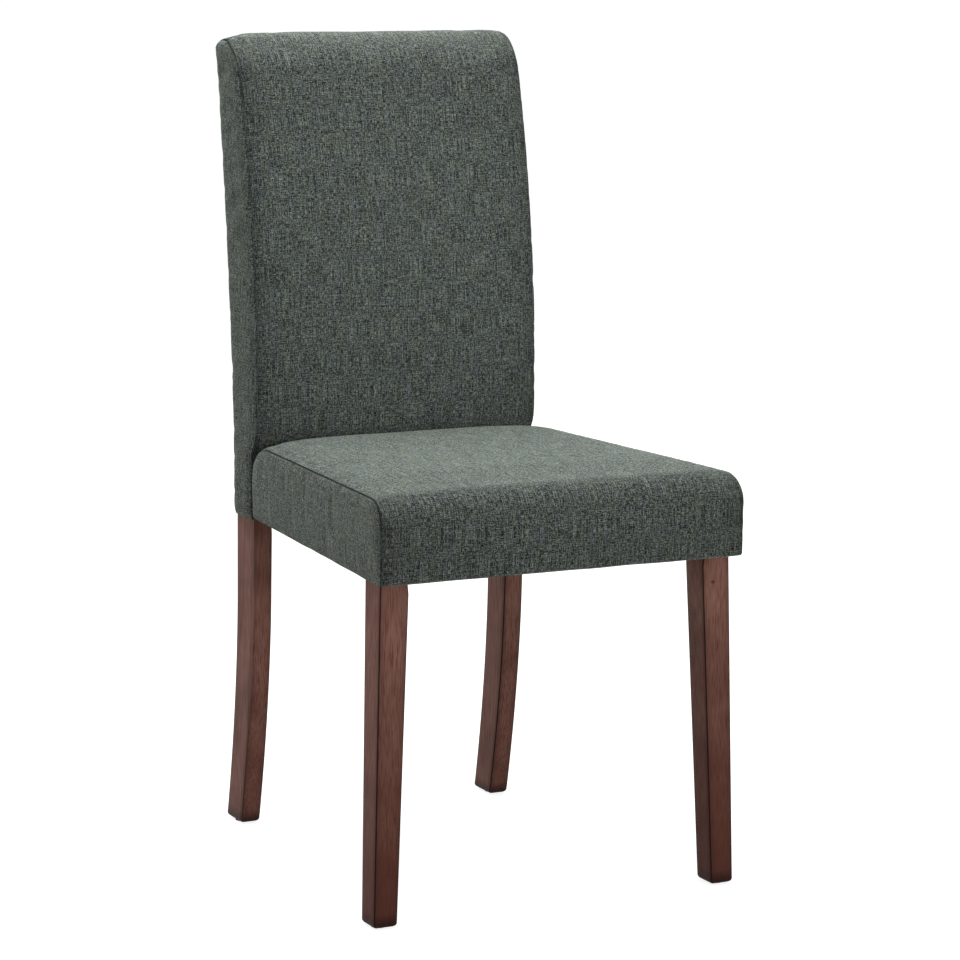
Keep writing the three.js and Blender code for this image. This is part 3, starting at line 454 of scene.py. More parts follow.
# Bright grey metal with a duller mottle about 2.4 mm wide.
zinc, tree = new_material("zinc_plated_steel")
place = add(tree, "TexCoord").outputs["Object"]
mottle = add(tree, "TexNoise", {"Vector": place, "Scale": 420.0, "Detail": 3.0})
colour = add(tree, "Mix", {0: mottle, 6: "#b9bcc0", 7: "#8f9399"}, data_type="RGBA")
rough = add(tree, "MapRange", {
    "Value": mottle, "From Min": 0.3, "From Max": 0.7, "To Min": 0.28, "To Max": 0.42})
surface(tree, {"Base Color": colour, "Metallic": 1.0, "Roughness": rough})
for side, _ in SIDES:
    for name in (f"hanger_bolt_{side}", f"hanger_washer_{side}", f"hanger_nut_{side}",
                 f"seat_bolt_{side}_lower", f"seat_bolt_{side}_upper",
                 f"tee_nut_{side}_lower", f"tee_nut_{side}_upper"):
        finish_node(name, zinc)

# ---------------------------------------------------------------- seat board, back board
# Thin poplar plywood with vent holes under the seat foam, and a thinner sheet behind the back
# foam. Rotary-cut faces, and edges that show the plies.

# the figure of the faces is about 17 mm wide and long drawn
plywood, tree = new_material("poplar_plywood")
place = add(tree, "TexCoord").outputs["Object"]
grain = add(tree, "Mapping", {"Vector": place, "Scale": (60, 5, 60)})
figure = add(tree, "TexNoise", {"Vector": grain, "Scale": 1.0, "Detail": 4.0, "Distortion": 1.2})
face = add(tree, "Mix", {0: figure, 6: "#d3b98c", 7: "#ab8757"}, data_type="RGBA")
# plies 1.6 mm thick
layers = add(tree, "TexWave", {"Vector": place, "Scale": 98.0}, bands_direction="Z")
plies = add(tree, "Mix", {0: layers.outputs[1], 6: "#8a6a44", 7: "#c9a873"}, data_type="RGBA")
facing = add(tree, "NewGeometry").outputs["Normal"]
sideways = add(tree, "SeparateXYZ", {0: facing}).outputs[0]
sideways = add(tree, "Math", {0: sideways}, operation="ABSOLUTE")
sideways = add(tree, "Math", {0: sideways, 1: 0.5}, operation="GREATER_THAN")
colour = add(tree, "Mix", {0: sideways, 6: face, 7: plies}, data_type="RGBA")
surface(tree, {"Base Color": colour, "Roughness": 0.78, "IOR": 1.5}, figure, 0.3, 0.0003)
finish_node("seat_board", plywood)
finish_node("back_board", plywood)

# The panel under the rear cover is fibreboard: brown, felted, slightly hairy. Its fibres are
# drawn 1.4 mm wide so that they show.
fibreboard, tree = new_material("pressed_fibreboard")
place = add(tree, "TexCoord").outputs["Object"]
felt = add(tree, "TexNoise", {"Vector": place, "Scale": 700.0, "Detail": 4.0})
colour = add(tree, "Mix", {0: felt, 6: "#8d6c48", 7: "#694d31"}, data_type="RGBA")
surface(tree, {"Base Color": colour, "Roughness": 0.9}, felt, 0.4, 0.0002)
finish_node("back_rear_panel", fibreboard)

# ---------------------------------------------------------------- rear posts
# One piece each, band-sawn from thick plank: the swept leg below the cloth, and the upright
# that carries the back's rails in mortises. Stained and lacquered like the front legs.

POST_OUTER, POST_INNER = 0.184, 0.1608
POST_FRONT, POST_REAR, POST_TOP = 0.442, 0.4895, 0.9462
BACK_LOW, BACK_TOP, BACK_REAR = 0.383, 0.957, 0.4915
LEAN_FROM, BEND_AT = 0.442, 0.287


def rear_face(z):
    """Depth of the back's rear face behind the seat's front, at a height."""
    share = max(0.0, z - LEAN_FROM) / (BACK_TOP - LEAN_FROM)
    return BACK_REAR + 0.066 * (0.45 * share + 0.55 * share ** 2)


def back_side(z):
    """Half the back's width at a height, with its rounded top corners and the tuck at its hem."""
    tuck = max(0.0, 0.402 - z) / 0.019
    return 0.1875 - round_fall(z - (BACK_TOP - 0.023), 0.023) - 0.0022 * tuck ** 2


def post_ends(z):
    """Outer and inner side, front and rear of a rear post at a height."""
    if z < 0.385:
        drop = max(0.0, BEND_AT - z) / BEND_AT
        fall = 1 - z / BACK_LOW
        half = lerp(0.0232, 0.0226, fall) / 2
        front = POST_FRONT + 0.0315 * drop ** 1.8
        middle = (POST_OUTER + POST_INNER) / 2
        inner = middle - half - FULLER * (1 - smooth(z, 0.37, 0.3825))
        return inner, middle + half, front, front + lerp(0.0475, 0.0425, fall)
    rear = rear_face(z) - 0.0042
    rise = min(1.0, max(0.0, (z - LEAN_FROM) / (POST_TOP - LEAN_FROM)))
    outer = min(POST_OUTER, back_side(z + 0.0035) - 0.0038)
    return POST_INNER, outer, rear - lerp(0.0453, 0.031, rise), rear


for side, sign in SIDES:
    heights = [*spaced(0.0045, 0.374, 46)[1:], 0.3785, 0.3825, *spaced(0.393, 0.934, 40),
               0.940, POST_TOP]
    sections = foot_sections(post_ends(TAPER_LOW))
    sections += [(height, section_ring(*post_ends(height))) for height in heights]
    add_leg(f"rear_post_{side}", "sawn", sections, sign, [*BACK_RAILS, f"glide_rear_{side}"])

# ---------------------------------------------------------------- seat foam, back foam
# Slabs of cut polyurethane foam, wrapped over the frame, with wadding glued to their skin. They
# have the solids' form, with a mesh that is fine enough to fill the sewn covers later.

# Cream, yellowed in places, matt and soft.
foam, tree = new_material("polyurethane_foam")
place = add(tree, "TexCoord").outputs["Object"]
# open cells, drawn 1.5 mm wide so that they show
cells = add(tree, "TexVoronoi", {"Vector": place, "Scale": 650.0})
age = add(tree, "TexNoise", {"Vector": place, "Scale": 9.0})
colour = add(tree, "Mix", {0: age, 6: "#e9e2bd", 7: "#d5c893"}, data_type="RGBA")
surface(tree, {
    "Base Color": colour, "Roughness": 1.0, "Subsurface Weight": 0.15,
    "Subsurface Scale": 0.004}, cells, 0.6, 0.0006)

slabs = {}
for name in ("seat_foam", "back_foam"):
    bm = grown_copy(name, -0.0004)
    for axis, steps in ((0, 33), (2, 30)):
        low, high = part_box(name)
        for at in spaced(low[axis], high[axis], steps)[1:-1]:
            place, normal = Vector(), Vector()
            place[axis], normal[axis] = at, 1
            bmesh.ops.bisect_plane(bm, geom=bm.verts[:] + bm.edges[:] + bm.faces[:],
                                   plane_co=place, plane_no=normal, dist=1e-6)
    slab = slabs[name] = shaped(f"{name}_slab", bm, foam)
    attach(slab, "root")
    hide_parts(name)

# ---------------------------------------------------------------- seat cover
# A boxed cover: one band of cloth over the front, top and rear end, and a panel at each side,
# sewn inside out and turned, so the seams show as a thin sunk line, darkened with painted shade.
# It is pulled down over the foam and stapled under the rails. The forms are those of the CAD
# solids, then stuffed.

# the cloth's thickness, the strip and the depth of a seam, and the size of a mesh cell, which
# starts at a margin from each seam
CLOTH, SEAM_STRIP, SEAM_DEPTH, CELL = 0.0012, 0.001, 0.0018, 0.0065
BAND_MARGIN, PANEL_MARGIN = 0.004, 0.0042
# how far a panel's bulge takes to rise, and the painted shade beside an upright seam: share and
# width
BULGE_REACH, SEAM_SHADE, SEAM_SHADE_REACH = 0.022, 0.25, 0.011
# the form starts this much smaller, and the stuffing moves it this far at most
SLACK, STUFFING = 0.0005, 0.0012
WADDING = CLOTH + 0.0005
# each cloth of a seam lies this far from its middle, an underside's cloth this near its height,
# and there is play round legs and bolts
SEAM_GAP, HEM_BAND, LEG_PLAY, BOLT_CLEAR, BOLT_RIM = 0.00012, 0.002, 0.0003, 0.0042, 0.0038


def boxed_form(name, outline, kinds, half_width, crowned, puff, depth, panel_ys, panel_zs):
    """The closed form of a band round an outline of (y, z) and a panel at each side.

    Faces carry the panel that they belong to and a flat map in metres, and vertices a share of
    painted shade: how deep they lie in a seam, or a little in the hollow beside it. Returns the
    object, rows of its vertices' numbers, the rows that have a seam, and the outward direction at
    each row.
    """
    count = len(outline)
    widest = max(half_width(*point) for point in outline)
    columns = round(2 * (widest - BAND_MARGIN) / CELL)
    inner = 1 - BAND_MARGIN / widest
    shares = [-1, -1 + SEAM_STRIP / widest] + spaced(-inner, inner, columns)
    shares += [1 - SEAM_STRIP / widest, 1]
    width = len(shares)
    arc = [0.0]
    outward = []
    for i in range(count):
        arc.append(arc[-1] + math.dist(outline[i], outline[(i + 1) % count]))
        before, after = Vector(outline[i - 1]), Vector(outline[(i + 1) % count])
        step = (after - before).normalized()
        outward.append(Vector((-step.y, step.x)))

    bm = bmesh.new()
    panel = bm.faces.layers.int.new("panel")
    flat = bm.loops.layers.uv.new("cut")
    seam = bm.verts.layers.float.new("seam")
    crease = bm.edges.layers.float.new("crease_edge")
    grid = []
    for (y, z), facing in zip(outline, outward):
        row = []
        half = half_width(y, z)
        for share in shares:
            edge = (1 - abs(share)) * half
            rise_y, rise_z = crowned(y, z, 1 - share ** 4, edge, share)
            row.append(bm.verts.new((share * half, rise_y, rise_z)))
            # painted shade in the hollow beside an upright seam
            row[-1][seam] = SEAM_SHADE * abs(facing.x) * math.exp(-edge / SEAM_SHADE_REACH)
        grid.append(row)
    for i in range(count):
        after = (i + 1) % count
        for j in range(width - 1):
            corners = ((i, j), (i, j + 1), (after, j + 1), (after, j))
            made = bm.faces.new([grid[r][c] for r, c in corners])
            for loop, along in zip(made.loops, (arc[i], arc[i], arc[i + 1], arc[i + 1])):
                loop[flat].uv = (loop.vert.co.x, along)

    ring = [Vector(p) - SEAM_STRIP * n for p, n in zip(outline, outward)]
    edge = np.array(outline)
    ends = np.roll(edge, -1, axis=0)

    def reach(point):
        """Distance from the outline."""
        along = ends - edge
        t = ((point - edge) * along).sum(1) / (along ** 2).sum(1)
        nearest = edge + np.clip(t, 0, 1)[:, None] * along
        return float(np.sqrt(((nearest - point) ** 2).sum(1)).min())

    def inside(y, z):
        hit = False
        for (y0, z0), (y1, z1) in zip(ring, ring[1:] + ring[:1]):
            if (z0 > z) != (z1 > z) and y < (y1 - y0) * (z - z0) / (z1 - z0) + y0:
                hit = not hit
        return hit

    lattice = [(y, z) for z in panel_zs for y in panel_ys
               if inside(y, z) and reach(np.array((y, z))) > PANEL_MARGIN]
    points, _, triangles, sources, _, _ = delaunay_2d_cdt(
        [Vector(p) for p in ring] + [Vector(p) for p in lattice],
        [(i, (i + 1) % count) for i in range(count)], [], 1, 1e-7)
    for number, sign, column in ((1, -1, 0), (2, 1, width - 1)):
        made = []
        for y, z in points:
            share = min(1.0, reach(np.array((y, z))) / BULGE_REACH)
            bulge = puff * math.sqrt(1 - (1 - share) ** 2)
            rise_y, rise_z = crowned(y, z, 0.0, 0.0, sign)
            made.append(bm.verts.new((sign * (half_width(y, z) + bulge), rise_y, rise_z)))
        at = {source: made[k] for k, group in enumerate(sources) for source in group}
        side_faces = []
        for i in range(count):
            after = (i + 1) % count
            side_faces.append(bm.faces.new((grid[i][column], grid[after][column],
                                            at[after], at[i])))
        tiles = [bm.faces.new([made[k] for k in triangle]) for triangle in triangles]
        for one in side_faces + tiles:
            one[panel] = number
        bmesh.ops.join_triangles(bm, faces=tiles, angle_face_threshold=0.3,
                                 angle_shape_threshold=1.2)
        for one in bm.faces:
            if one[panel] == number:
                for loop in one.loops:
                    loop[flat].uv = (sign * loop.vert.co.y, loop.vert.co.z)
    bmesh.ops.recalc_face_normals(bm, faces=bm.faces)

    rows = [i for i, kind in enumerate(kinds) if kind != "under"]
    for j in (0, width - 1):
        run = [grid[i][j] for i in rows]
        for i, v in zip(rows, run):
            v[seam] = depth(*outline[i])
        for a, b in zip(run, run[1:]):
            bm.edges.get((a, b))[crease] = 1.0
    bm.verts.index_update()
    numbers = [[v.index for v in row] for row in grid]
    return shaped(name, bm), numbers, rows, outward


def read(mesh, key):
    """A vector for each vertex of a mesh."""
    values = np.empty(len(mesh.vertices) * 3)
    mesh.vertices.foreach_get(key, values)
    return values.reshape(-1, 3)


def settle(piece, held, frames, pressure=0.0, shrink=0.0, gravity=0.0):
    """Where a cloth simulation leaves the piece's vertices."""
    group = piece.vertex_groups.new(name="held")
    group.add([int(i) for i in held], 1.0, "REPLACE")
    cloth = piece.modifiers.new("cloth", "CLOTH")
    for key, value in {
        "quality": 5, "mass": 0.3, "tension_stiffness": 15, "compression_stiffness": 15,
        "shear_stiffness": 6, "bending_stiffness": 0.6, "shrink_min": shrink,
        "vertex_group_mass": "held", "use_pressure": pressure > 0,
        "uniform_pressure_force": pressure,
    }.items():
        setattr(cloth.settings, key, value)
    cloth.settings.effector_weights.gravity = gravity
    cloth.point_cache.frame_start = 1
    cloth.point_cache.frame_end = frames
    for number in range(1, frames + 1):
        scene.frame_set(number)
    seen = piece.evaluated_get(bpy.context.evaluated_depsgraph_get())
    after = read(seen.data, "co")
    piece.modifiers.clear()
    piece.vertex_groups.clear()
    scene.frame_set(1)
    return after


def stuff(piece, held, room):
    """Presses the cloth outwards from within, with its seams and hems held, and keeps it close.

    room(point) is the share of the way that a point may go.
    """
    mesh = piece.data
    form, normals = read(mesh, "co"), read(mesh, "normal")
    loose = np.ones(len(form))
    loose[list(held)] = 0
    small = form - normals * (loose * SLACK)[:, None]
    mesh.vertices.foreach_set("co", small.ravel())
    mesh.update()
    moved = settle(piece, held, 20, pressure=4, shrink=-0.012) - small
    far = np.linalg.norm(moved, axis=1)
    allowed = np.array([room(Vector(p)) for p in form]) * STUFFING
    kept = allowed * (1 - np.exp(-far / np.maximum(allowed, 1e-6)))
    final = small + moved * (kept / np.maximum(far, 1e-9))[:, None]
    # hand-laid wadding is never quite even
    for i in np.flatnonzero(loose):
        p = Vector(form[i])
        swell = 0.0003 * noise.noise(p * 15) + 0.0001 * noise.noise(p * 52)
        final[i] += normals[i] * swell * room(p)
    mesh.vertices.foreach_set("co", final.ravel())
    mesh.update()


def squeeze(slab, cover):
    """The foam's wadding fills the sewn cover, and is pressed down wherever that is tighter."""
    bm = bmesh.new()
    bm.from_mesh(cover.data)
    tree = BVHTree.FromBMesh(bm)
    bm.free()
    facing = [v.normal.copy() for v in slab.data.vertices]
    for v, own in zip(slab.data.vertices, facing):
        near, normal, _, _ = tree.find_nearest(v.co, 0.03)
        if near:
            depth = (near - v.co).dot(normal)
            fills = own.dot(normal) > 0.6 and depth < 0.012
            if fills or depth < WADDING:
                v.co += normal * (depth - WADDING)
    slab.data.update()


def boxed_cover(name, outline, kinds, half_width, crowned, puff, depth, panel_ys, panel_zs,
                room, slab, fixed=(), waver=None):
    """A boxed form that is stuffed, drawn in along its seams and fitted over its foam.

    Its hem, its underside and the fixed rows stay put as it is stuffed, and so do both rows
    beside each seam. waver(point) is how far a point of a hand-pulled hem is out of level.
    """
    cover, grid, rows, outward = boxed_form(name, outline, kinds, half_width, crowned, puff,
                                            depth, panel_ys, panel_zs)
    held = {k for row in grid for k in (*row[:2], *row[-2:])}
    for i, kind in enumerate(kinds):
        if kind in ("hem", "under") or i in fixed:
            held |= set(grid[i])
    stuff(cover, held, room)
    vertices = cover.data.vertices
    if waver:
        for v in vertices:
            v.co.z += waver(v.co)
    for j, sign in ((0, -1), (-1, 1)):
        for i in rows:
            inward = Vector((-sign, -outward[i].x, -outward[i].y)).normalized()
            vertices[grid[i][j]].co += inward * SEAM_DEPTH * depth(*outline[i])
    for v in vertices:
        v.co.y += FRONT
    smooth_out = cover.modifiers.new("smooth", "SUBSURF")
    smooth_out.levels = smooth_out.render_levels = 1
    smooth_out.use_limit_surface = False
    bake(cover)
    squeeze(slab, cover)
    return cover


def cut_panels(cover, hem, names, panel_of, openings):
    """Cuts a cover into its panels, in place of these CAD nodes, and gives them thickness.

    panel_of(centre, panel, normal) is the number of the panel that a face belongs to. Each
    opening is a list of planes (point, normal), and the cloth at the hem's height inside all of
    them is cut out. The first panel gets the holes for the bolts through the cloth.
    """
    for number, node in enumerate(names):
        bm = bmesh.new()
        bm.from_mesh(cover.data)
        panel = bm.faces.layers.int["panel"]
        seam = bm.verts.layers.float["seam"]

        def cut_out(gone):
            bmesh.ops.delete(bm, geom=gone, context="FACES")

        def level_faces():
            return [f for f in bm.faces if abs(f.normal.z) > 0.7
                    and hem - HEM_BAND <= f.calc_center_median().z <= hem + HEM_BAND]

        for planes in openings:
            for point, normal in planes:
                picked = level_faces()
                geometry = list({e for f in picked for e in f.edges}) + picked
                geometry += list({v for f in picked for v in f.verts})
                bmesh.ops.bisect_plane(bm, geom=geometry, plane_co=point, plane_no=normal,
                                       dist=1e-6)
            cut_out([f for f in level_faces()
                     if all((f.calc_center_median() - Vector(p)).dot(Vector(n)) < 0
                            for p, n in planes)])
        cut_out([f for f in bm.faces
                 if panel_of(f.calc_center_median(), f[panel], f.normal) != number])
        for x, z, y_low, y_high in bolts if number == 0 else ():
            def off(p):
                return math.hypot(p.x - x, p.z - z)
            gone = [f for f in bm.faces if off(f.calc_center_median()) < BOLT_CLEAR
                    and y_low < f.calc_center_median().y < y_high]
            rim = {v for f in gone for v in f.verts}
            cut_out(gone)
            for v in rim:
                if v.is_valid:
                    scale = BOLT_RIM / max(off(v.co), 1e-6)
                    v.co.x = x + (v.co.x - x) * scale
                    v.co.z = z + (v.co.z - z) * scale
        bmesh.ops.delete(bm, geom=[v for v in bm.verts if not v.link_faces], context="VERTS")
        bm.normal_update()
        # the two cloths of a seam lie face to face, hardly apart
        for v in bm.verts:
            if v.is_boundary and v[seam] > 0.6:
                v.co -= v.normal * SEAM_GAP
        piece = shaped(f"{node}_sewn", bm, linen, curved=True)
        wall = piece.modifiers.new("cloth", "SOLIDIFY")
        wall.thickness = CLOTH
        wall.offset = -1
        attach(piece, "root")
        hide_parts(node)
    bpy.data.objects.remove(cover)


def leg_openings(inner, outer, front, rear):
    """Planes round where a pair of legs comes through a cover's underside."""
    return [[((sign * (outer + LEG_PLAY), 0, 0), (sign, 0, 0)),
             ((sign * (inner - LEG_PLAY), 0, 0), (-sign, 0, 0)),
             ((0, front - LEG_PLAY + FRONT, 0), (0, -1, 0)),
             ((0, rear + LEG_PLAY + FRONT, 0), (0, 1, 0))] for _, sign in SIDES]


# Heathered plain weave of polyester with a linen look, grey-green: uneven slub yarns both ways,
# so the eye sees a fine broken cross-hatch, with paler hairs, a painted sheen where it is seen
# slantwise, and painted shade in and beside its seams.
linen, tree = new_material("linen_look_plain_weave")
cut = add(tree, "UVMap", uv_map="cut")
wander = add(tree, "TexNoise", {"Vector": cut, "Scale": 190.0, "Detail": 1.0})
warped = add(tree, "VectorMath", {
    0: wander.outputs[1], 1: (0.0003, 0.0003, 0.0), 2: cut}, operation="MULTIPLY_ADD")
# short slubs, then warp yarns and weft yarns of two lengths, with the weight of each. Half of
# the real yarns are too fine to show, so all are drawn 0.7 mm wide.
threads = 0.0
for stretch, weight in (((1500, 800, 1), 0.32), ((1450, 200, 1), 0.3), ((1350, 28, 1), 0.22),
                        ((200, 1400, 1), 0.27), ((30, 1350, 1), 0.15)):
    laid = add(tree, "Mapping", {"Vector": warped, "Scale": stretch})
    noisy = add(tree, "TexNoise", {"Vector": laid, "Scale": 1.0, "Detail": 1.0, "Roughness": 0.5})
    threads = add(tree, "Math", {0: noisy, 1: weight, 2: threads}, operation="MULTIPLY_ADD")
# the weave's ups and downs, 0.9 mm apart both ways
place = add(tree, "SeparateXYZ", {0: warped})
beats = []
for way in place.outputs[:2]:
    beat = add(tree, "Math", {0: way, 1: math.pi / 0.0009}, operation="MULTIPLY")
    beats.append(add(tree, "Math", {0: beat}, operation="SINE"))
weave = add(tree, "Math", {0: beats[0], 1: beats[1]}, operation="MULTIPLY")
yarn = layer(tree, "#0e110e", "#949d94", threads, (0.6, 0.755))
# dye lots of the yarns, in patches of 14 by 28 mm: olive in places, slate in others
patches = add(tree, "Mapping", {"Vector": cut, "Scale": (70, 36, 1)})
patches = add(tree, "TexNoise", {"Vector": patches, "Scale": 1.0, "Detail": 2.0})
lots = layer(tree, "#f9f9f5", "#f1f3fd", patches, (0.38, 0.62))
tint = add(tree, "Mix", {0: 1.0, 6: yarn, 7: lots}, data_type="RGBA",
           blend_type="MULTIPLY")
# painted sheen: the colour is lightened where the cloth is seen slantwise, and its yarns stay
# distinct in it
slant = add(tree, "LayerWeight", {"Blend": 0.5})
painted_sheen = add(tree, "Math", {0: slant.outputs["Facing"], 1: 3.0}, operation="POWER")
painted_sheen = add(tree, "Math", {0: painted_sheen, 1: 1.7, 2: 1.0}, operation="MULTIPLY_ADD")
sheen_lit_colour = add(tree, "VectorMath", {0: tint, 3: painted_sheen}, operation="SCALE")
# painted shade: darker in the hollow beside a seam, and darkest in the seam itself
painted_seam_shade = add(tree, "Attribute", attribute_name="seam").outputs["Fac"]
colour = layer(tree, sheen_lit_colour, "#0c0f12", painted_seam_shade, (0.0, 0.25), (0.0, 0.5))
colour = layer(tree, colour, "#060706", painted_seam_shade, (0.34, 0.6), (0.0, 0.99))
height = add(tree, "Math", {0: weave, 1: 0.15}, operation="MULTIPLY")
height = add(tree, "Math", {0: threads, 1: 2.2, 2: height}, operation="MULTIPLY_ADD")
surface(tree, {
    "Base Color": colour, "Roughness": 0.95, "IOR": 1.45, "Specular IOR Level": 0.25,
    "Sheen Weight": 0.36, "Sheen Roughness": 0.32, "Sheen Tint": "#c6d0c0"},
    height, 1.0, 0.0009)

SEAT_TOP, SEAT_FALL = 0.4825, 0.004
ROLL_DEEP, ROLL_HIGH = 0.033, 0.034
REAR_DEEP, REAR_HIGH, REAR_TUCK, REAR_STRAIGHT = 0.06, 0.048, 0.006, 0.4305
HEM_ROUND, SIDE_ROUND = 0.004, 0.01


def seat_top(y):
    return SEAT_TOP - SEAT_FALL * max(0.0, y - ROLL_DEEP) / (SEAT_DEPTH - ROLL_DEEP)


def corner(angle):
    """How far a unit round is from its two tangents at an angle."""
    return 1 - math.cos(angle), 1 - math.sin(angle)


def quarter(steps):
    return [corner(angle) for angle in spaced(0, math.pi / 2, steps)]


def eased(start, radius, steps):
    """Places towards the end of a round, ever closer together."""
    return [start + radius * math.sin(angle)
            for angle in spaced(0, math.pi / 2, steps)[1:-1]]


def closed_outline(runs):
    """The points of all runs of (kind, points), and the kind of each."""
    return [p for _, run in runs for p in run], [kind for kind, run in runs for _ in run]


seat_outline, seat_kinds = closed_outline((
    ("hem", [(HEM_ROUND * s, HEM + HEM_ROUND * c) for c, s in quarter(4)]),
    ("front", [(0, z) for z in spaced(HEM + HEM_ROUND, SEAT_TOP - ROLL_HIGH, 9)[1:-1]]),
    ("front", [(ROLL_DEEP * c, SEAT_TOP - ROLL_HIGH * s) for c, s in quarter(12)]),
    ("top", [(y, seat_top(y)) for y in spaced(ROLL_DEEP, SEAT_DEPTH - REAR_DEEP, 50)[1:-1]]),
    ("rear", [(SEAT_DEPTH - REAR_DEEP * s,
               seat_top(SEAT_DEPTH - REAR_DEEP * s) - REAR_HIGH * c) for c, s in quarter(14)]),
    ("rear", [(lerp(SEAT_DEPTH, SEAT_DEPTH - REAR_TUCK, s),
               lerp(REAR_STRAIGHT, HEM + HEM_ROUND, s)) for s in spaced(0, 1, 6)[1:-1]]),
    ("hem", [(SEAT_DEPTH - REAR_TUCK - HEM_ROUND * c, HEM + HEM_ROUND * s)
             for c, s in quarter(4)]),
    ("under", [(y, HEM) for y in spaced(SEAT_DEPTH - 0.01, HEM_ROUND, 64)[1:-1]]),
))


def seat_half(y, z):
    return seat_side(y) - round_fall(y - (SEAT_DEPTH - SIDE_ROUND), SIDE_ROUND)


def seat_depth(y, z):
    """How deep the seam is sunk: fully along the top and rear, less down the front corner."""
    at_rear = smooth(y, SEAT_DEPTH - 0.04, SEAT_DEPTH - 0.02)
    return lerp(0.55, 1.0, max(smooth(z, 0.44, 0.47), at_rear))


def seat_crowned(y, z, share, edge, side):
    """The band swells between its seams, most on the top towards the back."""
    back = smooth(y, SEAT_DEPTH - 0.05, SEAT_DEPTH)
    height = smooth(z, HEM, SEAT_TOP - back * REAR_HIGH)
    dome = 0.0034 + 0.0052 * smooth(y, 0.02, 0.13)
    rise = height * (lerp(dome, 0.0032, back) * (1 - side ** 6)
                     + 0.0012 * (1 - math.exp(-edge / 0.006)))
    middle_y, middle_z = SEAT_DEPTH / 2, (SEAT_TOP + HEM) / 2
    return (middle_y + (y - middle_y) * (1 + rise / middle_y),
            middle_z + (z - middle_z) * (1 + rise / ((SEAT_TOP - HEM) / 2)))


def seat_room(p):
    """Nothing may swell against the back or over the hem."""
    return (1 - smooth(p.y, SEAT_DEPTH - 0.04, SEAT_DEPTH - 0.012)) * smooth(
        p.z, HEM + 0.002, HEM + 0.03)


def seat_waver(p):
    """The hem was folded and pulled by hand, so its line wavers by half a millimetre."""
    outer = seat_side(p.y) - abs(p.x)
    if p.y < SEAT_DEPTH / 2:
        outer = min(p.y, outer)
    low = (1 - smooth(p.z, HEM, HEM + 0.025)) * (1 - smooth(outer, 0.002, 0.0055))
    return low * 0.0011 * noise.noise(Vector((p.x * 19, p.y * 19, 3.7)))


cover = boxed_cover(
    "seat_cover_form", seat_outline, seat_kinds, seat_half, seat_crowned, 0.003, seat_depth,
    spaced(0.003, SEAT_DEPTH - 0.012, 66) + eased(SEAT_DEPTH - SIDE_ROUND, SIDE_ROUND, 6),
    spaced(HEM + 0.003, SEAT_TOP - 0.003, 14), seat_room, slabs["seat_foam"], waver=seat_waver)

# The cloth returns this far under the rails, so the underside is open between them.
RAIL_RETURN, FRAME_REAR = 0.01, 0.4248


def frame_side(y):
    return seat_side(y) - SIDE_PAD


slope = Vector((1, (SEAT_WIDE - SEAT_NARROW) / 2 / SEAT_DEPTH, 0)).normalized()
edge_x = frame_side(0.2) - RAIL_RETURN
under_opening = [
    ((edge_x, 0.2 + FRONT, 0), slope),
    ((-edge_x, 0.2 + FRONT, 0), Vector((-slope.x, slope.y, 0))),
    ((0, FRAME_FRONT + RAIL_RETURN + FRONT, 0), (0, -1, 0)),
    ((0, FRAME_REAR - RAIL_RETURN + FRONT, 0), (0, 1, 0)),
]
# bolts as their x and z, and where they start and end
bolts = []
for side, _ in SIDES:
    for at in ("lower", "upper"):
        low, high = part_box(f"seat_bolt_{side}_{at}")
        bolts.append(((low.x + high.x) / 2, (low.z + high.z) / 2, low.y, high.y))


def seat_panel(centre, panel, normal):
    """Which panel a face belongs to: 0 for the band, 1 and 2 for the left and right side."""
    if panel or normal.z > -0.9 or centre.z > HEM + 0.001:
        return panel
    y = centre.y - FRONT
    beside = seat_side(y) - abs(centre.x)
    if beside < min(y, SEAT_DEPTH - REAR_TUCK - y):
        return 1 if centre.x < 0 else 2
    return 0


cut_panels(cover, HEM, ("seat_cover_top", "seat_cover_left", "seat_cover_right"), seat_panel,
           [under_opening, *leg_openings(LEG_INNER, LEG_OUTER, FRAME_FRONT, LEG_REAR)])

# ---------------------------------------------------------------- back cover
# Another boxed cover, pulled down over the whole back like a sleeve: a front band that turns
# over the rounded top, narrow side panels, and a rear panel that starts just below the top. The
# hem is drawn in round the legs and stapled.

PAD_FRONT, PAD_HEM = 0.4405, 0.003
TOP_HIGH, TOP_DEEP, TOP_REAR, REAR_SEAM = 0.045, 0.034, 0.021, 0.936
# the top's flat point, where its front half ends, and the angle at which its rear round does
TOP_FLAT, TOP_HALF, TOP_STOP = 0.5338, 0.5337, 0.048


def pad_front(z):
    """Depth of the back's front face at a height. It is held back where the seat meets it."""
    lean = max(0.0, z - 0.502) / (BACK_TOP - 0.502)
    return lerp(PAD_FRONT, 0.426 + 0.071 * lean ** 2, smooth(z, 0.457, 0.494))


def corner_drop(y, z):
    """How far the seam lies below the rounded top's middle: the band sags towards its corners."""
    return 0.006 * smooth(z, REAR_SEAM if y > TOP_HALF else 0.905, 0.954)


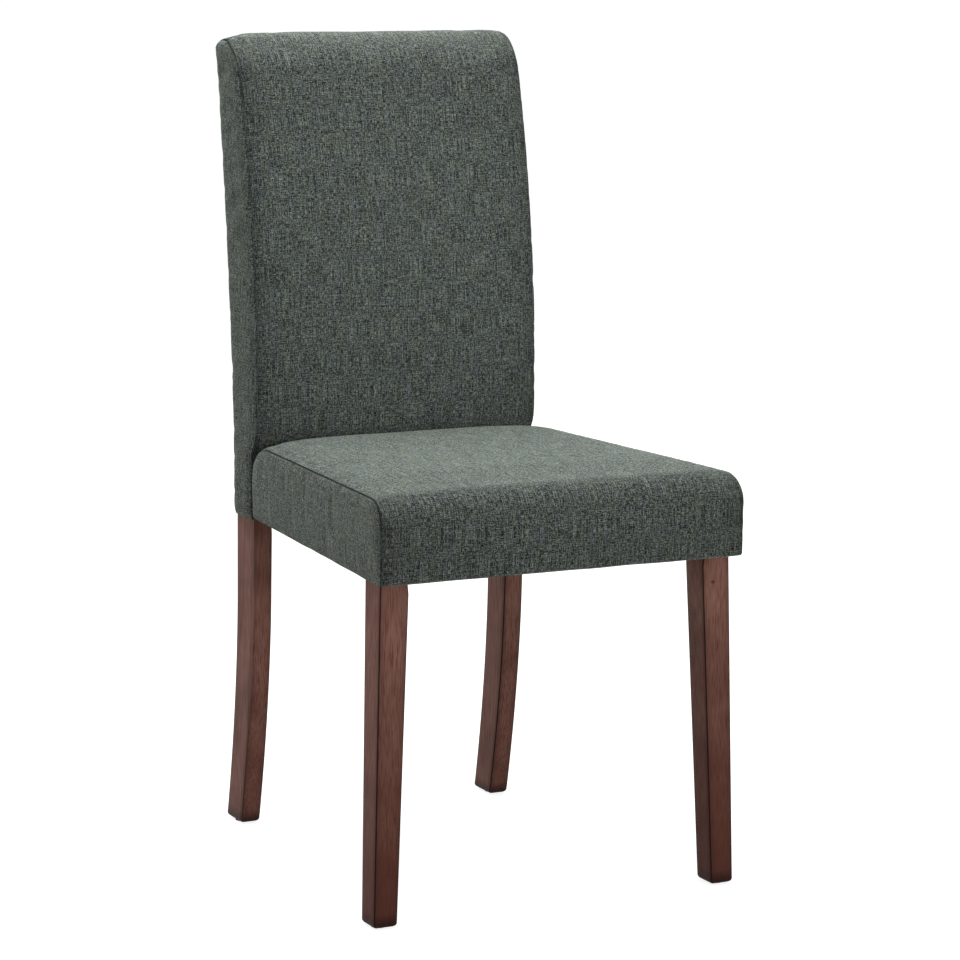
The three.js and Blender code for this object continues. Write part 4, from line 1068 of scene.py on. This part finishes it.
back_outline, back_kinds = closed_outline((
    ("hem", [(PAD_FRONT + PAD_HEM * s, BACK_LOW + PAD_HEM * c) for c, s in quarter(3)]),
    ("front", [(pad_front(z), z)
               for z in spaced(BACK_LOW + PAD_HEM, BACK_TOP - TOP_HIGH, 82)[1:-1]]),
    ("front", [(pad_front(BACK_TOP - TOP_HIGH * s) + TOP_DEEP * c, BACK_TOP - TOP_HIGH * s)
               for c, s in quarter(13)]),
    ("front", [(TOP_FLAT, BACK_TOP)]),
    ("front", [(rear_face(BACK_TOP - TOP_REAR * s) - TOP_REAR * c, BACK_TOP - TOP_REAR * s)
               for c, s in quarter(8)[::-1][:-1] + [corner(TOP_STOP)]]),
    ("rear", [(rear_face(z), z) for z in
              [REAR_SEAM, 0.935] + spaced(0.931, BACK_LOW + PAD_HEM, 86)[:-1]]),
    ("rear", [(BACK_REAR - PAD_HEM * c, BACK_LOW + PAD_HEM * s) for c, s in quarter(3)]),
    ("under", [(y, BACK_LOW)
               for y in spaced(BACK_REAR - PAD_HEM, PAD_FRONT + PAD_HEM, 7)[1:-1]]),
))
back_outline = [(y, z - corner_drop(y, z)) for y, z in back_outline]


def back_half(y, z):
    tuck = max(0.0, 0.399 - z) / 0.016
    pinch = 0.0009 * math.exp(-((z - 0.411) / 0.0035) ** 2)
    return 0.1868 - round_fall(z - 0.944, 0.012) - 0.0028 * tuck ** 2 - pinch


def back_depth(y, z):
    """How deep the seam is sunk: it shows at the top corners, and is drawn tight elsewhere."""
    return lerp(0.5, 1.0, smooth(z, 0.92, 0.94))


def back_crowned(y, z, share, edge, side):
    """The cloth swells between its seams above the seat, and its left top corner sags most."""
    soft = 0.0024 * (1 - max(0.0, 1 - edge / 0.025) ** 2) * (1 - 0.5 * smooth(z, 0.92, 0.95))
    rise = smooth(z, 0.457, 0.502) * (0.0014 * share + soft)
    sag = 1.0 if side < 0 else 0.0
    z += corner_drop(y, z + 0.003) * (1 - sag * max(0.0, 1 - edge / 0.062) ** 3)
    middle = (BACK_TOP + BACK_LOW) / 2
    high = middle + (z - middle) * (1 + rise / ((BACK_TOP - BACK_LOW) / 2))
    half = (rear_face(z) - pad_front(z)) / 2
    across = (y - (rear_face(z) + pad_front(z)) / 2) * (1 + rise / half)
    return (rear_face(high) + pad_front(high)) / 2 + across, high


def back_room(p):
    """Nothing may swell against the seat or over the hem."""
    return smooth(p.z, 0.40, 0.43) * (1 if p.y > 0.46 else smooth(p.z, 0.49, 0.53))


rear_row = back_kinds.index("rear")
cover = boxed_cover(
    "back_cover_form", back_outline, back_kinds, back_half, back_crowned, 0.0042, back_depth,
    spaced(0.429, 0.556, 20), spaced(BACK_LOW + 0.003, 0.934, 86) + eased(0.934, 0.023, 9),
    back_room, slabs["back_foam"], fixed=(rear_row - 1, rear_row, rear_row + 1))


def back_panel(centre, panel, normal):
    """0 for the front and the underside, 1 and 2 for the sides, 3 for the rear."""
    behind = centre.y - FRONT > rear_face(centre.z) - 0.0035
    return panel or (3 if behind and centre.z < REAR_SEAM else 0)


cut_panels(cover, BACK_LOW, ("back_cover_front", "back_cover_left", "back_cover_right",
                             "back_cover_rear"), back_panel,
           leg_openings(POST_INNER, POST_OUTER, POST_FRONT, POST_REAR))

# ---------------------------------------------------------------- dust cover and glides
# Black spun-bonded cloth closes the underside and is stapled to the frame, and a nylon-headed
# nail sits under each foot.

# Black and matt, pressed with bonding points 2.4 mm apart.
dust, tree = new_material("black_spunbond")
place = add(tree, "TexCoord").outputs["Object"]
pressed = add(tree, "TexVoronoi", {"Vector": place, "Scale": 420.0})
colour = add(tree, "Mix", {0: pressed, 6: "#18191a", 7: "#2e3032"}, data_type="RGBA")
surface(tree, {"Base Color": colour, "Roughness": 0.8}, pressed, 0.5, 0.0003)

# It is cut with a notch for each front leg, and hangs a little slack between its staples.
DUST_NEAR, DUST_FAR, NOTCH_X, NOTCH_Y = 0.0198, 0.4218, 0.1878, 0.0569
DUST_HIGH, DUST_THICK, SIDE_ANGLE = 0.3885, 0.0004, 0.0936
DUST_CELL, DUST_MARGIN, DUST_HELD = 0.007, 0.0035, 0.009


def dust_side(y):
    return frame_side(y) - 0.003


half_cut = [(NOTCH_X, DUST_NEAR), (NOTCH_X, NOTCH_Y), (dust_side(NOTCH_Y), NOTCH_Y),
            (dust_side(DUST_FAR), DUST_FAR)]
cut_line = half_cut + [(-x, y) for x, y in half_cut[::-1]]
cut_sides = list(zip(cut_line, cut_line[1:] + cut_line[:1]))
rim = []
for start, end in cut_sides:
    steps = max(1, round(math.dist(start, end) / DUST_CELL))
    rim += [(lerp(start[0], end[0], i / steps), lerp(start[1], end[1], i / steps))
            for i in range(steps)]


def from_rim(x, y):
    """Distance of a point of the dust cover from its edge, negative outside."""
    beside = (dust_side(y) - abs(x)) * math.cos(SIDE_ANGLE)
    notch = math.hypot(max(0.0, NOTCH_X - abs(x)), max(0.0, y - NOTCH_Y))
    if abs(x) > NOTCH_X and y < NOTCH_Y:
        notch = -1.0
    return min(beside, y - DUST_NEAR, DUST_FAR - y, notch)


lattice = [(x, y) for x in spaced(-0.21, 0.21, 60) for y in spaced(0.023, 0.4185, 56)
           if from_rim(x, y) > DUST_MARGIN]
points, _, triangles, _, _, _ = delaunay_2d_cdt(
    [Vector(p) for p in rim + lattice], [(i, (i + 1) % len(rim)) for i in range(len(rim))],
    [], 1, 1e-7)
mesh = bpy.data.meshes.new("seat_dust_cover_stapled")
mesh.from_pydata([(p.x, p.y + FRONT, DUST_HIGH) for p in points], [],
                 [t[::-1] for t in triangles])
mesh.materials.append(dust)
flat_map = mesh.uv_layers.new(name="cut")
for loop in mesh.loops:
    flat_map.uv[loop.index].vector = points[loop.vertex_index]
cloth = new_piece("seat_dust_cover_stapled", mesh)
held = [i for i, p in enumerate(points) if from_rim(p.x, p.y) < DUST_HELD]
hung = settle(cloth, held, 12, gravity=1.0)
for v, place in zip(mesh.vertices, hung):
    inner = smooth(from_rim(v.co.x, v.co.y - FRONT), 0.008, 0.09)
    sag = min(0.004, max(0.0, v.co.z - place[2])) + 0.0016 * inner
    ripple = 0.0005 * noise.noise(Vector((v.co.x * 14, v.co.y * 30, 0.0)))
    v.co.z -= min(0.006, sag * inner) + ripple * inner
for face in mesh.polygons:
    face.use_smooth = True
wall = cloth.modifiers.new("cloth", "SOLIDIFY")
wall.thickness = DUST_THICK
wall.offset = -1
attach(cloth, "root")
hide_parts("seat_dust_cover")

# Staples of galvanised wire, 10 mm wide, one about every 35 mm along the dust cover's edge and
# under the back. Geometry nodes lay one staple at each point, turned as the point says.
STAPLE_WIDE, STAPLE_IN, STAPLE_EVERY, WIRE = 0.01, 0.0045, 0.035, 0.00045
STAPLE_MARGIN, FLATTENED = 0.015, 0.6

stapling = bpy.data.node_groups.new("staples", "GeometryNodeTree")
for label, way, kind in (("Places", "INPUT", "Geometry"), ("Crown", "INPUT", "Float"),
                         ("Wire", "INPUT", "Float"), ("Finish", "INPUT", "Material"),
                         ("Staples", "OUTPUT", "Geometry")):
    stapling.interface.new_socket(label, in_out=way, socket_type=f"NodeSocket{kind}")
given = add(stapling, "NodeGroupInput").outputs
crown = add(stapling, "GeometryNodeMeshCylinder", {
    "Vertices": 8, "Radius": given["Wire"], "Depth": given["Crown"]})
lying = add(stapling, "GeometryNodeTransform", {
    "Geometry": crown, "Rotation": (0, math.pi / 2, 0), "Scale": (FLATTENED, 1, 1)})
turned = add(stapling, "GeometryNodeInputNamedAttribute", {"Name": "turn"},
             data_type="FLOAT_VECTOR")
spread = add(stapling, "GeometryNodeInstanceOnPoints", {
    "Points": given["Places"], "Instance": lying, "Rotation": turned.outputs[0]})
real = add(stapling, "GeometryNodeRealizeInstances", {"Geometry": spread})
painted = add(stapling, "GeometryNodeSetMaterial", {"Geometry": real, "Material": given["Finish"]})
add(stapling, "NodeGroupOutput", {"Staples": painted})

random.seed(7)
places = []
centre = Vector((0, 0.22))
for start, end in cut_sides:
    start = Vector(start)
    along = Vector(end) - start
    if along.length < 0.06:
        continue
    inward = Vector((-along.y, along.x)).normalized() * STAPLE_IN
    halfway = start + along / 2
    if (halfway + inward - centre).length > (halfway - centre).length:
        inward = -inward
    run = along.length - 2 * STAPLE_MARGIN
    count = round(run / STAPLE_EVERY)
    for i in range(count + 1):
        at = start + inward + along * (STAPLE_MARGIN + run * i / count) / along.length
        places.append((at.x, at.y, DUST_HIGH - DUST_THICK - FLATTENED * WIRE - 0.00006,
                       math.atan2(along.y, along.x) + random.uniform(-0.12, 0.12)))
for x in spaced(-0.135, 0.135, 6):
    places.append((x, 0.466, BACK_LOW - FLATTENED * WIRE - 0.00008,
                   random.uniform(-0.15, 0.15)))
mesh = bpy.data.meshes.new("staples")
mesh.from_pydata([(x, y + FRONT, z) for x, y, z, _ in places], [], [])
turns = mesh.attributes.new("turn", "FLOAT_VECTOR", "POINT")
for i, (_, _, _, turn) in enumerate(places):
    turns.data[i].vector = (0, 0, turn)
staples = new_piece("staples", mesh)
laying = staples.modifiers.new("staples", "NODES")
laying.node_group = stapling
sockets = {item.name: item.identifier for item in stapling.interface.items_tree}
laying[sockets["Crown"]] = STAPLE_WIDE
laying[sockets["Wire"]] = WIRE
laying[sockets["Finish"]] = zinc
bake(staples)
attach(staples, "root")

# Moulded nylon: dark brown, smooth, dulled by scuffs about 1 mm wide.
nylon, tree = new_material("moulded_nylon")
place = add(tree, "TexCoord").outputs["Object"]
scuff = add(tree, "TexNoise", {"Vector": place, "Scale": 900.0, "Detail": 3.0})
rough = add(tree, "MapRange", {
    "Value": scuff, "From Min": 0.3, "From Max": 0.7, "To Min": 0.38, "To Max": 0.6})
surface(tree, {"Base Color": "#2b2825", "Roughness": rough, "IOR": 1.53})
for side, _ in SIDES:
    for end in ("front", "rear"):
        finish_node(f"glide_{end}_{side}", nylon)
